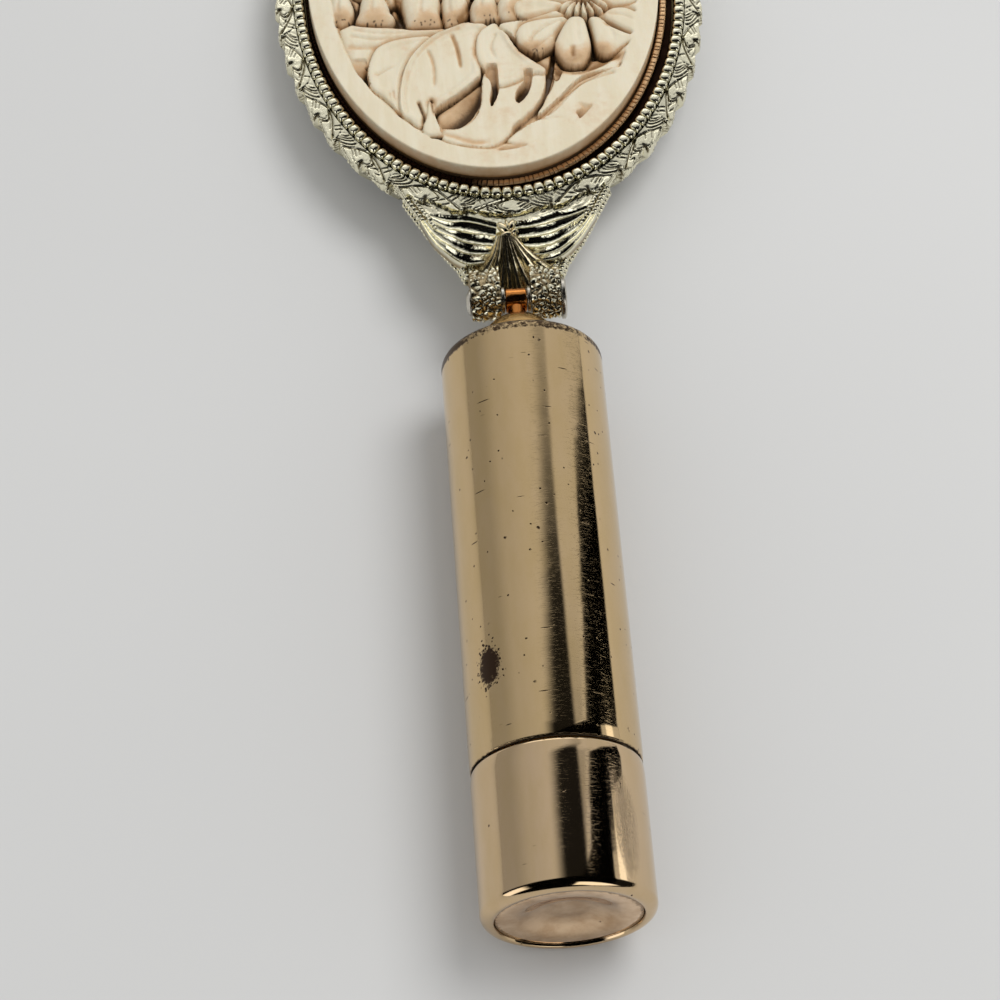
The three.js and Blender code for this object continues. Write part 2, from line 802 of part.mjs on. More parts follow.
/** Oval mirror, silvered on its inner face. */
const mirrorGlass = () => ovalPlate(...mirrorHalf, mirrorFace, mirrorFront);

/** Ring that holds the mirror in, with a lip over the edge of the glass. */
function mirrorBezel() {
  const lipFace = -backDepth + mirrorLipRecess;
  const lipInner = bezelInner - mirrorLip;
  return ovalRing(beadOvalX, beadOvalY, ringStations, () => [
    [bezelInner, mirrorFace - seatGap],
    [lipInner, mirrorFace - seatGap],
    [lipInner, lipFace],
    [bezelOuter, lipFace],
    [bezelOuter, mirrorTop],
    [bezelInner, mirrorTop],
  ]);
}

/** Riveted hinge pin: a broad flat head on one side and a small peened end on the other. */
function hingePin() {
  const headStart = earOuter + seatGap;
  const headEnd = headStart + rivetHeadThickness;
  return lathe(
    [
      [0, -headStart - peenThickness],
      [hingePinRadius, -headStart - peenThickness],
      [peenRadius, -headStart],
      [hingePinRadius, -headStart],
      [hingePinRadius, headStart],
      [rivetHeadRadius, headStart],
      [rivetHeadRadius, headEnd - rivetHeadRound],
      [rivetHeadRadius - rivetHeadRound, headEnd],
      [0, headEnd],
    ],
    fineTurns,
  ).rotateZ(-Math.PI / 2);
}

/** Thin washer between the knuckle and an ear. */
function springWasher(side) {
  const start = knuckleWidth / 2 + seatGap;
  const ring = tube(pinHoleRadius, springWasherRadius, start, start + springWasherThickness, fineTurns);
  return ring.rotateZ(side * (-Math.PI / 2));
}

// ---------------------------------------------------------------- assembly

/** Adds a named piece to a group. */
function place(group, name, geometry, material) {
  const mesh = new THREE.Mesh(geometry, material);
  mesh.name = name;
  group.add(mesh);
  return mesh;
}

/** How far the head hangs down from the line of the handle until its far edge rests beside the tube. */
function headDroop() {
  const reach = ovalCentre + beadOvalY + recessWidth + rimWidth + leafStep - rimEdge;
  return Math.asin(tubeRadius / Math.hypot(reach, backDepth)) - Math.atan2(backDepth, reach);
}

const handle = new THREE.Group();
handle.position.z = tubeRadius;
place(handle, "cap_shell", capShell(), champagne);
place(handle, "cap_liner", capLiner(), creamPlastic);
place(handle, "dome_ferrule", domeFerrule(), brass);
place(handle, "knuckle", knuckle(), copper);
place(handle, "back_washer", backWasher(), steel);
place(handle, "case_sleeve", caseSleeve(), brass);
place(handle, "spiral_tube", spiralTube(), creamPlastic);
place(handle, "slotted_tube", slottedTube(), brass);
place(handle, "carrier_cup", carrierCup(), brass);
place(handle, "lipstick", lipstickBullet(), lipstickRed);
place(handle, "base_shell", baseShell(), champagne);
place(handle, "end_disc", endDisc(), champagne);
place(handle, "base_plug", basePlug(), creamPlastic);

const head = new THREE.Group();
head.position.y = pinY;
head.rotation.x = -headDroop();
handle.add(head);
place(head, "head_frame", headFrame(), paleGold);
place(head, "hinge_pin", hingePin(), steel);
place(head, "hinge_washer_right", springWasher(1), steel);
place(head, "hinge_washer_left", springWasher(-1), steel);

const oval = new THREE.Group();
oval.position.y = ovalCentre;
head.add(oval);
place(oval, "beaded_bezel", beadedBezel(), paleGold);
place(oval, "serrated_collar", serratedCollar(), copper);
place(oval, "medallion", offCentre(medallion()), ivory);
place(oval, "medallion_pad", offCentre(medallionPad()), card);
place(oval, "mirror_pad", mirrorPad(), card);
place(oval, "mirror_glass", mirrorGlass(), glass);
place(oval, "mirror_bezel", mirrorBezel(), brass);

const mirrorWithLipstick = new THREE.Group();
mirrorWithLipstick.add(handle);

// The origin is under the middle of the whole object, on the table.
const box = new THREE.Box3().setFromObject(mirrorWithLipstick, true);
const middle = box.getCenter(new THREE.Vector3());
handle.position.x -= middle.x;
handle.position.y -= middle.y;
handle.position.z -= box.min.z;

export default mirrorWithLipstick;
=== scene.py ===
"""Folding vanity mirror whose handle is a lipstick case, dressed round its CAD model."""

import json
import math

import bmesh
import bpy
import numpy as np
from mathutils import Matrix, Vector


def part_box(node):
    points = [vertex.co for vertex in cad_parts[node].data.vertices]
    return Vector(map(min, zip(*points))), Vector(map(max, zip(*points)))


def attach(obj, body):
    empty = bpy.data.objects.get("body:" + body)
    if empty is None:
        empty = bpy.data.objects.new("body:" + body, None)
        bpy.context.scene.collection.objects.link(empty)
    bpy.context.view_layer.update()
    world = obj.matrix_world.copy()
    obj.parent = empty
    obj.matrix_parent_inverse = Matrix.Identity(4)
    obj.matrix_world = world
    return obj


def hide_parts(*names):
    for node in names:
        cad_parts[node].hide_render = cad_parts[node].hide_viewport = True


bl_info = {
    "name": "Folding vanity mirror",
    "version": (1, 0, 0),
    "blender": (4, 5, 0),
    "location": "3D View > Sidebar > Vanity mirror",
    "description": "Builds a folding hand mirror with a cast, carved back and a lipstick-case handle",
    "category": "Object",
}

MM = 0.001  # metres in a millimetre: every size below is in millimetres
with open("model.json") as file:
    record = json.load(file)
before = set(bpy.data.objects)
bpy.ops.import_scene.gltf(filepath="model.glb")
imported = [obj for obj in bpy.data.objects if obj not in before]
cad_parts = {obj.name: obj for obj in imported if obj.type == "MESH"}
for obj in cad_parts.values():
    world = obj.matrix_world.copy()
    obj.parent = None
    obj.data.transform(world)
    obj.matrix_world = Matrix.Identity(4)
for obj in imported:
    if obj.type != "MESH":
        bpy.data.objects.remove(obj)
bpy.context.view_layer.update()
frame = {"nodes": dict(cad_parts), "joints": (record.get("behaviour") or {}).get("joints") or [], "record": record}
JOINTS = {joint["name"]: joint for joint in frame["joints"]}
MOUNTS = {mount["name"]: mount for mount in frame["record"]["mounts"]}


def corners(node):
    """Lowest and highest corner of a CAD node, in millimetres."""
    return [np.array(corner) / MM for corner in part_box(node)]


# ---------------------------------------------------------------- places, from the frame
PIN = np.array(JOINTS["mirror_fold"]["pos_m"]) / MM
DROOP = math.asin(-MOUNTS["frame_back"]["axis"][1])
CAP_LOW, CAP_HIGH = corners("cap_shell")
_, BASE_HIGH = corners("base_shell")
PARTING = (CAP_LOW[1] + BASE_HIGH[1]) / 2
TUBE_Z = (CAP_LOW[2] + CAP_HIGH[2]) / 2
CASE = Matrix.Translation((0, PARTING, TUBE_Z))
HEAD = Matrix.Translation(PIN) @ Matrix.Rotation(-DROOP, 4, "X")
ACROSS = Matrix.Rotation(-math.pi / 2, 4, "Z")  # lays a turned piece's axis along the hinge pin
HINGE = HEAD @ ACROSS


def along_tube(node):
    """Start, end and radius of a round node on the tube, from the parting plane and the tube's axis."""
    low, high = corners(node)
    return low[1] - PARTING, high[1] - PARTING, (high[0] - low[0]) / 2


def in_head(node):
    """Lowest and highest corner of a node of the head, in the head's own directions from the pin."""
    mesh = frame["nodes"][node].data
    points = np.array([vertex.co for vertex in mesh.vertices]) / MM
    turned = (points - PIN) @ np.array(HEAD.to_3x3())
    return turned.min(0), turned.max(0)


PAD_LOW, PAD_HIGH = in_head("medallion_pad")
CARVED_LOW, CARVED_HIGH = in_head("medallion")
BEADS_LOW, BEADS_HIGH = in_head("beaded_bezel")
COLLAR_LOW, COLLAR_HIGH = in_head("serrated_collar")
GLASS_LOW, GLASS_HIGH = in_head("mirror_glass")
MIRROR_PAD_LOW, MIRROR_PAD_HIGH = in_head("mirror_pad")
LIP_LOW, LIP_HIGH = in_head("mirror_bezel")
CASTING_LOW, _ = in_head("head_frame")
OVAL_Y = (BEADS_LOW[1] + BEADS_HIGH[1]) / 2
OVAL = HEAD @ Matrix.Translation((0, OVAL_Y, 0))
CARVED_HALF = (CARVED_HIGH[:2] - CARVED_LOW[:2]) / 2
# the medallion sits a little off the beads' centre
CARVED_AT = (CARVED_HIGH[:2] + CARVED_LOW[:2]) / 2 - (0, OVAL_Y)
BEAD_WIDTH = 0.66  # half width of a bead at its widest
BEAD_HALF = (BEADS_HIGH[:2] - BEADS_LOW[:2]) / 2 - BEAD_WIDTH
EAR_START, EAR_END, EAR_RADIUS = 1.75, 5.05, 2.35
SLOT_END = 1.8  # from the pin to the end of the slot between the ears
LOWEST_BACK = -2.4
BACK = CASTING_LOW[2] if CASTING_LOW[2] > -2.5 else LOWEST_BACK  # height of the frame's flat back
SHELL_WALL = 0.5  # of the cap, the base and the dome
SHANK_BORE = 1.3  # radius of the holes that the knuckle's shank runs through
PIN_HOLE = 0.85  # radius of the holes that the hinge pin runs through


# ---------------------------------------------------------------- sizes and colours that a user may change
def colour(name, text, value):
    return bpy.props.FloatVectorProperty(
        name=name, description=text, subtype="COLOR", size=3, min=0, max=1, default=value
    )


def length(name, text, value):
    return bpy.props.FloatProperty(
        name=name, description=text, unit="LENGTH", subtype="DISTANCE", default=value * MM
    )


def number(name, text, value, least):
    return bpy.props.IntProperty(name=name, description=text, default=value, min=least)


class MirrorColours(bpy.types.PropertyGroup):
    """Colours of the mirror's finishes."""

    champagne: colour("Champagne plate", "Polished plate of the lipstick case", (0.65, 0.475, 0.265))
    pale_gold: colour("Pale gold", "Cast frame, neck and beads", (0.86, 0.82, 0.62))
    copper: colour("Copper plate", "Serrated collar and knuckle", (0.95, 0.63, 0.35))
    rose: colour("Rose disc", "Dished disc in the base", (0.80, 0.58, 0.38))
    brass: colour("Spun brass", "Dome under the knuckle and inner tubes", (0.72, 0.45, 0.17))
    steel: colour("Rivet", "Rivet and washers", (0.62, 0.59, 0.52))
    ivory: colour("Ivory resin", "Carved medallion", (0.665, 0.585, 0.42))
    # this colour also tints the painted shade in the carving's hollows and lowest places
    stain: colour("Old stain", "Warm stain in the carving's hollows", (0.40, 0.215, 0.085))
    card: colour("Backing card", "Card under the medallion and the glass", (0.15, 0.10, 0.06))
    cream: colour("Cream plastic", "Moulded plug and cup", (0.76, 0.69, 0.55))
    lipstick: colour("Lipstick", "Wax of the lipstick", (0.42, 0.02, 0.035))
    floor: colour("Floor", "Plain pale floor", (0.625, 0.625, 0.617))


class MirrorSizes(bpy.types.PropertyGroup):
    """Sizes of the mirror's ornament."""

    flute_depth: length("Flute depth", "Depth of the bow's flutes between their ridges", 0.5)
    tick_depth: length("Tick depth", "Depth of the ticks round the collar", 0.16)
    carving_depth: length("Carving depth", "Depth of the holes in the medallion's carving", 2.4)
    beads: number("Beads", "Beads round the oval", 144, 12)
    leaves: number("Leaves", "Leaves round the rim", 42, 6)
    ticks: number("Ticks", "Ticks round the collar", 264, 20)


def colours():
    return bpy.context.scene.mirror_colours


def sizes():
    return bpy.context.scene.mirror_sizes


# ---------------------------------------------------------------- meshes
def grid(rows, columns, close_rows=False, close_columns=False, first=0):
    """Quads of a grid of points that is stored row by row."""
    row = np.arange(rows if close_rows else rows - 1)
    column = np.arange(columns if close_columns else columns - 1)
    r, c = np.meshgrid(row, column, indexing="ij")
    r2, c2 = (r + 1) % rows, (c + 1) % columns
    quads = np.stack([r * columns + c, r2 * columns + c, r2 * columns + c2, r * columns + c2], -1)
    return (quads.reshape(-1, 4) + first).tolist()


def capped(rows, columns):
    """A grid that closes to a tube, with a face over each end."""
    last = [(rows - 1) * columns + i for i in range(columns)]
    return grid(rows, columns, close_columns=True) + [list(range(columns))[::-1], last]


def between_rings(upper, lower):
    """Quads between two closed rings of points."""
    corners_of = zip(upper, np.roll(upper, -1), np.roll(lower, -1), lower)
    return [[int(point) for point in quad] for quad in corners_of]


def fan_of(ring, middle):
    """Triangles from a closed ring of points to one in its middle."""
    return [[int(here), int(after), middle] for here, after in zip(ring, np.roll(ring, -1))]


class Shape:
    """Points and faces that are gathered before they become one piece."""

    def __init__(self):
        self.points = []
        self.faces = []
        self.values = {}
        self.count = 0

    def add(self, points, faces, **values):
        """Adds points (N x 3) and faces that count from the first of them."""
        points = np.asarray(points, float).reshape(-1, 3)
        self.points.append(points)
        self.faces += [[corner + self.count for corner in face] for face in faces]
        for name in set(self.values) | set(values):
            earlier = self.values.setdefault(name, [np.zeros(self.count)])
            given = values.get(name, 0.0)
            earlier.append(np.broadcast_to(np.asarray(given, float).ravel(), (len(points),)))
        self.count += len(points)

    def piece(self, name, place, body, slot, coat, replaced, sharp=40.0, weld=False):
        """Makes the object, puts it in its place, attaches it to its body and hides the CAD nodes that it
        replaces.
        """
        mesh = bpy.data.meshes.new(name)
        points = np.concatenate(self.points) * MM
        mesh.from_pydata(points.tolist(), [], self.faces)
        for label, parts in self.values.items():
            layer = mesh.attributes.new(label, "FLOAT", "POINT")
            layer.data.foreach_set("value", np.concatenate(parts).astype(np.float32))
        work = bmesh.new()
        work.from_mesh(mesh)
        if weld:
            bmesh.ops.remove_doubles(work, verts=work.verts, dist=1e-7)
            bmesh.ops.dissolve_degenerate(work, edges=work.edges, dist=1e-7)
        bmesh.ops.recalc_face_normals(work, faces=work.faces)
        work.to_mesh(mesh)
        work.free()
        mesh.shade_smooth()
        mesh.set_sharp_from_angle(angle=math.radians(sharp))
        thing = bpy.data.objects.new(name, mesh)
        bpy.context.scene.collection.objects.link(thing)
        in_metres = Matrix.Translation(place.to_translation() * MM) @ place.to_3x3().to_4x4()
        mesh.transform(in_metres)
        mesh.materials.append(finish(coat))
        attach(thing, body)
        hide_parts(*replaced)
        return thing


def filleted(corner_list, radius=0.1):
    """A closed section of [r, y] or [r, y, own radius] with each corner rounded."""
    section = []
    count = len(corner_list)
    for i, corner in enumerate(corner_list):
        here = np.array(corner[:2], float)
        own = corner[2] if len(corner) > 2 else radius
        before = np.array(corner_list[i - 1][:2], float) - here
        after = np.array(corner_list[(i + 1) % count][:2], float) - here
        reach_before, reach_after = np.linalg.norm(before), np.linalg.norm(after)
        if own <= 0 or here[0] < 1e-6:
            section.append(here)
            continue
        turn = math.acos(np.clip(before @ after / (reach_before * reach_after), -1, 1))
        cut = own / math.tan(turn / 2)
        cut = min(cut, reach_before * 0.49, reach_after * 0.49)
        start, end = here + before / reach_before * cut, here + after / reach_after * cut
        for share in (0.0, 0.25, 0.5, 0.75, 1.0):
            section.append((1 - share) ** 2 * start + 2 * share * (1 - share) * here + share**2 * end)
    return section


def box_ring(inner, outer, low, high, radius=0.1):
    """Section of a ring with four rounded corners."""
    return filleted([(inner, low), (outer, low), (outer, high), (inner, high)], radius)


def turned(shape, section, sides=160, closed=True, **values):
    """Turns a section of [r, y] about the y axis."""
    section = np.array(section)
    angle = np.arange(sides) * 2 * math.pi / sides
    r, y = section[:, 0], section[:, 1]
    points = np.stack(
        [np.outer(np.sin(angle), r), np.broadcast_to(y, (sides, len(y))), np.outer(np.cos(angle), r)], -1
    )
    per_point = {name: np.tile(value, sides) for name, value in values.items()}
    shape.add(points, grid(sides, len(section), close_rows=True, close_columns=closed), **per_point)
    return shape


def lathe(section, **options):
    return turned(Shape(), section, **options)


def add_turned(shape, section, turn, shift, **options):
    """Adds a turned part whose axis is turned and then shifted."""
    part = lathe(section, **options)
    shape.add(part.points[0] @ np.array(turn.to_3x3()).T + np.array(shift), part.faces)


def bent(points, steps=6, closed=False):
    """A smooth curve through points, as a finer row of points."""
    p = np.array(points, float)
    if closed:
        before, here, after, last = np.roll(p, 1, 0), p, np.roll(p, -1, 0), np.roll(p, -2, 0)
    else:
        longer = np.concatenate([[2 * p[0] - p[1]], p, [2 * p[-1] - p[-2]]])
        before, here, after, last = longer[:-3], longer[1:-2], longer[2:-1], longer[3:]
    t = np.linspace(0, 1, steps, endpoint=False)[:, None, None]
    curve = 0.5 * (
        2 * here
        + (after - before) * t
        + (2 * before - 5 * here + 4 * after - last) * t**2
        + (3 * here - before - 3 * after + last) * t**3
    )
    curve = curve.transpose(1, 0, 2).reshape(-1, p.shape[1])
    return curve if closed else np.concatenate([curve, p[-1:]])


def soft_step(low, high, value):
    share = np.clip((value - low) / (high - low), 0, 1)
    return share * share * (3 - 2 * share)


def bell(away, width):
    """One where nothing is away, and nearly nothing beyond twice the width."""
    return np.exp(-((away / width) ** 2))


def run_along(path):
    """How far each point of a path lies from its start, seen from above."""
    return np.concatenate([[0], np.cumsum(np.hypot(*np.diff(path[:, :2], axis=0).T))])


def place_on(path, run, along):
    """Places on a path, by how far they lie from its start."""
    return [np.interp(along, run, values) for values in path.T]


def even_oval(half_x, half_y, count):
    """Places at even steps round an ellipse from its lowest point, with their outward normals."""
    fine = np.linspace(0, 2 * math.pi, 4001)
    run = run_along(np.stack([half_x * np.sin(fine), -half_y * np.cos(fine)], -1))
    angle = np.interp(np.arange(count) * run[-1] / count, run, fine)
    places = np.stack([half_x * np.sin(angle), -half_y * np.cos(angle)], -1)
    normals = np.stack([np.sin(angle) / half_x, -np.cos(angle) / half_y], -1)
    return places, normals / np.linalg.norm(normals, axis=1)[:, None], run[-1]


def everywhere(section, stations):
    """A section that is the same at every station round the oval, one table for each of its values."""
    return [np.tile(values, (stations, 1)) for values in np.array(section, float).T]


def row_values(rows, which, stations):
    """One value of every row of a section, which may differ from station to station."""
    return np.stack([np.broadcast_to(row[which], stations) for row in rows], 1)


def swept_oval(shape, places, normals, offsets, heights, **values):
    """Sweeps a section round the oval: offsets and heights are stations x rows."""
    points = np.concatenate(
        [places[:, None, :] + normals[:, None, :] * offsets[..., None], heights[..., None]], axis=-1
    )
    stations, rows = offsets.shape
    shape.add(points, grid(stations, rows, close_rows=True, close_columns=True), **values)


def oval_plate(half, low, high, edge=0.12, count=160):
    """A plain oval plate with eased edges, as rings that shrink to its middle."""
    angle = np.arange(count) * 2 * math.pi / count
    rings = [(0.04, low), (0.5, low), (1 - 2.5 * edge / half[0], low)]
    quarter = np.linspace(0, math.pi / 2, 4)
    rings += [(1 - edge / half[0] * (1 - math.sin(a)), low + edge * (1 - math.cos(a))) for a in quarter]
    rings += [(share, high + low - height) for share, height in reversed(rings)]
    across, along = half[0] * np.sin(angle), half[1] * np.cos(angle)
    points = [np.stack([across * share, along * share, np.full(count, height)], -1)
              for share, height in rings]
    shape = Shape()
    shape.add(np.stack(points), capped(len(rings), count))
    return shape


def lump(shape, centre, radii, turn=0.0, rows=8, columns=12, square=1.0, **values):
    """One egg-shaped bead or nugget. A power below one makes it squarer."""
    polar = np.linspace(0, math.pi, rows + 1)[1:-1]
    around = np.arange(columns) * 2 * math.pi / columns
    ring = np.stack(
        [
            np.outer(np.sin(polar), np.cos(around)) * radii[0],
            np.outer(np.sin(polar), np.sin(around)) * radii[1],
            np.outer(np.cos(polar), np.ones(columns)) * radii[2],
        ],
        -1,
    ).reshape(-1, 3)
    points = np.concatenate([[[0, 0, radii[2]]], ring, [[0, 0, -radii[2]]]])
    points = np.sign(points) * np.abs(points / radii) ** square * radii
    cos, sin = math.cos(turn), math.sin(turn)
    x, y = points[:, 0] * cos - points[:, 1] * sin, points[:, 0] * sin + points[:, 1] * cos
    points = np.stack([x, y, points[:, 2]], -1) + np.array(centre)
    faces = grid(rows - 1, columns, close_columns=True, first=1)
    last = len(points) - 1
    faces += [[0, 1 + i, 1 + (i + 1) % columns] for i in range(columns)]
    start = 1 + (rows - 2) * columns
    faces += [[last, start + (i + 1) % columns, start + i] for i in range(columns)]
    shape.add(points, faces, **values)


# ---------------------------------------------------------------- shader wiring
def wire(tree, kind, inputs=None, **options):
    """Adds a shader node, sets its options, and fills or links its inputs."""
    node = tree.nodes.new("ShaderNode" + kind)
    for option, value in options.items():
        setattr(node, option, value)
    for key, value in (inputs or {}).items():
        if isinstance(value, bpy.types.NodeSocket):
            tree.links.new(value, node.inputs[key])
        else:
            node.inputs[key].default_value = value
    return node


def maths(tree, operation, a, b=0.0, c=0.0):
    return wire(tree, "Math", {0: a, 1: b, 2: c}, operation=operation).outputs[0]


def times(tree, a, b):
    return maths(tree, "MULTIPLY", a, b)


def plus(tree, a, b, c):
    """A times b, plus c."""
    return maths(tree, "MULTIPLY_ADD", a, b, c)


def minus(tree, a, b):
    return maths(tree, "SUBTRACT", a, b)


def larger(tree, a, b):
    return maths(tree, "MAXIMUM", a, b)


def vector(tree, operation, *values, output=0):
    return wire(tree, "VectorMath", dict(enumerate(values)), operation=operation).outputs[output]


def distance_from(tree, place, centre, operation, squeeze):
    """How far each place is from one centre, in a space that is squeezed or divided first."""
    apart = vector(tree, operation, vector(tree, "SUBTRACT", place, centre), squeeze)
    return vector(tree, "LENGTH", apart, output="Value")


def scattered(tree, place, scale, channel=0):
    """Cells at random: the distance to each one's middle, and a number drawn for it."""
    cells = wire(tree, "TexVoronoi", {"Vector": place, "Scale": scale})
    drawn = wire(tree, "SeparateColor", {0: cells.outputs["Color"]}).outputs[channel]
    return cells.outputs["Distance"], drawn


def eased(tree, value, low, high, to_low=0.0, to_high=1.0):
    inputs = {"Value": value, "From Min": low, "From Max": high, "To Min": to_low, "To Max": to_high}
    return wire(tree, "MapRange", inputs, interpolation_type="SMOOTHSTEP").outputs[0]


def mixed(tree, factor, a, b):
    """Mixes two colours."""
    return wire(tree, "Mix", {0: factor, 6: a, 7: b}, data_type="RGBA").outputs[2]


def noise(tree, place, scale, detail=3.0, roughness=0.55):
    inputs = {"Vector": place, "Scale": scale, "Detail": detail, "Roughness": roughness}
    return wire(tree, "TexNoise", inputs).outputs[0]


def stretched(tree, place, scale, turn=(0.0, 0.0, 0.0)):
    return wire(tree, "Mapping", {"Vector": place, "Scale": scale, "Rotation": turn}).outputs[0]


def rgba(value):
    return (*value, 1.0)


def new_group(name, inputs, outputs):
    """A shader node group with named sockets. Gives the tree and its input and output nodes."""
    tree = bpy.data.node_groups.new(name, "ShaderNodeTree")
    for label, kind, default in inputs:
        socket = tree.interface.new_socket(name=label, in_out="INPUT", socket_type="NodeSocket" + kind)
        if default is not None:
            socket.default_value = default
    for label, kind in outputs:
        tree.interface.new_socket(name=label, in_out="OUTPUT", socket_type="NodeSocket" + kind)
    return tree, tree.nodes.new("NodeGroupInput"), tree.nodes.new("NodeGroupOutput")


def use_group(tree, name, **inputs):
    """Places a shared group in a material, with its own values."""
    node = tree.nodes.new("ShaderNodeGroup")
    node.node_tree = bpy.data.node_groups[name]
    for key, value in inputs.items():
        socket = node.inputs[key.replace("_", " ")]
        if isinstance(value, bpy.types.NodeSocket):
            tree.links.new(value, socket)
        else:
            socket.default_value = value
    return node


def make_marks_group():
    """Dark pits, hair scratches and a soft haze on polished plate."""
    tree, given, out = new_group(
        "plate_marks",
        [("Place", "Vector", None), ("Pits", "Float", 0.3), ("Scratches", "Float", 0.3)],
        [("Pits", "Float"), ("Scratches", "Float"), ("Haze", "Float"), ("Hairs", "Float")],
    )
    place = given.outputs["Place"]
    pits = []
    for cell, radius, seed in ((1.5, 0.15, 0.0), (2.6, 0.24, 7.3)):
        shifted = vector(tree, "ADD", place, (seed, seed, seed))
        wobble = wire(tree, "TexNoise", {"Vector": shifted, "Scale": 2.2, "Detail": 2.0}).outputs["Color"]
        wobbled = vector(tree, "MULTIPLY_ADD", wobble, (0.35,) * 3, shifted)
        away, drawn = scattered(tree, wobbled, 1 / cell)
        chosen = maths(tree, "LESS_THAN", drawn, given.outputs["Pits"])
        reach = radius / cell
        pits.append(times(tree, eased(tree, away, reach, reach * 0.45), chosen))
    tree.links.new(larger(tree, *pits), out.inputs["Pits"])
    lines = []
    for turn, scale in (
        ((0.0, 0.35, 0.12), (0.26, 2.9, 0.26)),
        ((0.3, 1.1, -0.8), (0.5, 3.2, 0.5)),
        ((0.1, 0.2, 1.35), (0.4, 3.4, 0.4)),
    ):
        away, drawn = scattered(tree, stretched(tree, place, scale, turn), 1.0, channel=1)
        chosen = maths(tree, "LESS_THAN", drawn, given.outputs["Scratches"])
        lines.append(times(tree, eased(tree, away, 0.27, 0.14), chosen))
    tree.links.new(larger(tree, larger(tree, *lines[:2]), lines[2]), out.inputs["Scratches"])
    haze = noise(tree, stretched(tree, place, (1.0, 0.35, 1.0)), 0.45, 5.0, 0.6)
    tree.links.new(haze, out.inputs["Haze"])
    hairs = [
        eased(tree, noise(tree, stretched(tree, place, scale, turn), 1.0, 2.0), 0.60, 0.68)
        for scale, turn in (((1.0, 8.0, 1.0), (0.2, 0.3, 1.3)), ((1.2, 9.0, 1.2), (0.4, 0.9, -0.9)))
    ]
    tree.links.new(larger(tree, *hairs), out.inputs["Hairs"])


def make_grain_group():
    """Fine pitting of cast, drawn or moulded surfaces, as a height and a mask."""
    tree, given, out = new_group(
        "fine_grain",
        [("Place", "Vector", None), ("Fineness", "Float", 4.0)],
        [("Height", "Float"), ("Tone", "Float")],
    )
    place = given.outputs["Place"]
    fine = noise(tree, place, given.outputs["Fineness"], 4.0, 0.6)
    coarse = noise(tree, place, times(tree, given.outputs["Fineness"], 0.22), 3.0)
    height = plus(tree, coarse, 0.6, fine)
    tree.links.new(height, out.inputs["Height"])
    tree.links.new(eased(tree, coarse, 0.3, 0.7), out.inputs["Tone"])


def make_recess_group():
    """Old polish and dirt in hollows, with painted shade in hollows and gaps, by the depth kept on the mesh."""
    tree, given, out = new_group(
        "dark_hollows",
        [
            ("Place", "Vector", None),
            ("Clean", "Color", (0.8, 0.8, 0.8, 1.0)),
            # colour of the dirt and of the painted shade
            ("Dirt", "Color", (0.05, 0.03, 0.02, 1.0)),
            ("Depth", "Float", 0.0),
            ("Amount", "Float", 0.8),
        ],
        [("Color", "Color"), ("Mask", "Float")],
    )
    ragged = noise(tree, given.outputs["Place"], 2.6, 4.0, 0.65)
    depth = plus(tree, minus(tree, ragged, 0.5), 0.4, given.outputs["Depth"])
    mask = times(tree, eased(tree, depth, 0.22, 0.8), given.outputs["Amount"])
    tree.links.new(mixed(tree, mask, given.outputs["Clean"], given.outputs["Dirt"]), out.inputs["Color"])
    tree.links.new(mask, out.inputs["Mask"])


def start_material(name, metallic, roughness, **constants):
    """Makes a material. Gives its nodes, its shader and the place on the object in millimetres."""
    material = bpy.data.materials.new("mirror_" + name)
    material.use_nodes = True
    tree = material.node_tree
    shader = tree.nodes["Principled BSDF"]
    shader.inputs["Metallic"].default_value = metallic
    shader.inputs["Roughness"].default_value = roughness
    for key, value in constants.items():
        shader.inputs[key.replace("_", " ")].default_value = value
    at = wire(tree, "TexCoord").outputs["Object"]
    return tree, shader, vector(tree, "MULTIPLY", at, (1 / MM,) * 3)


def bump(tree, shader, height, strength, distance_mm):
    made = wire(tree, "Bump", {"Height": height, "Strength": strength, "Distance": distance_mm * MM})
    tree.links.new(made.outputs[0], shader.inputs["Normal"])


def attribute(tree, name):
    return wire(tree, "Attribute", attribute_name=name, attribute_type="GEOMETRY").outputs["Fac"]


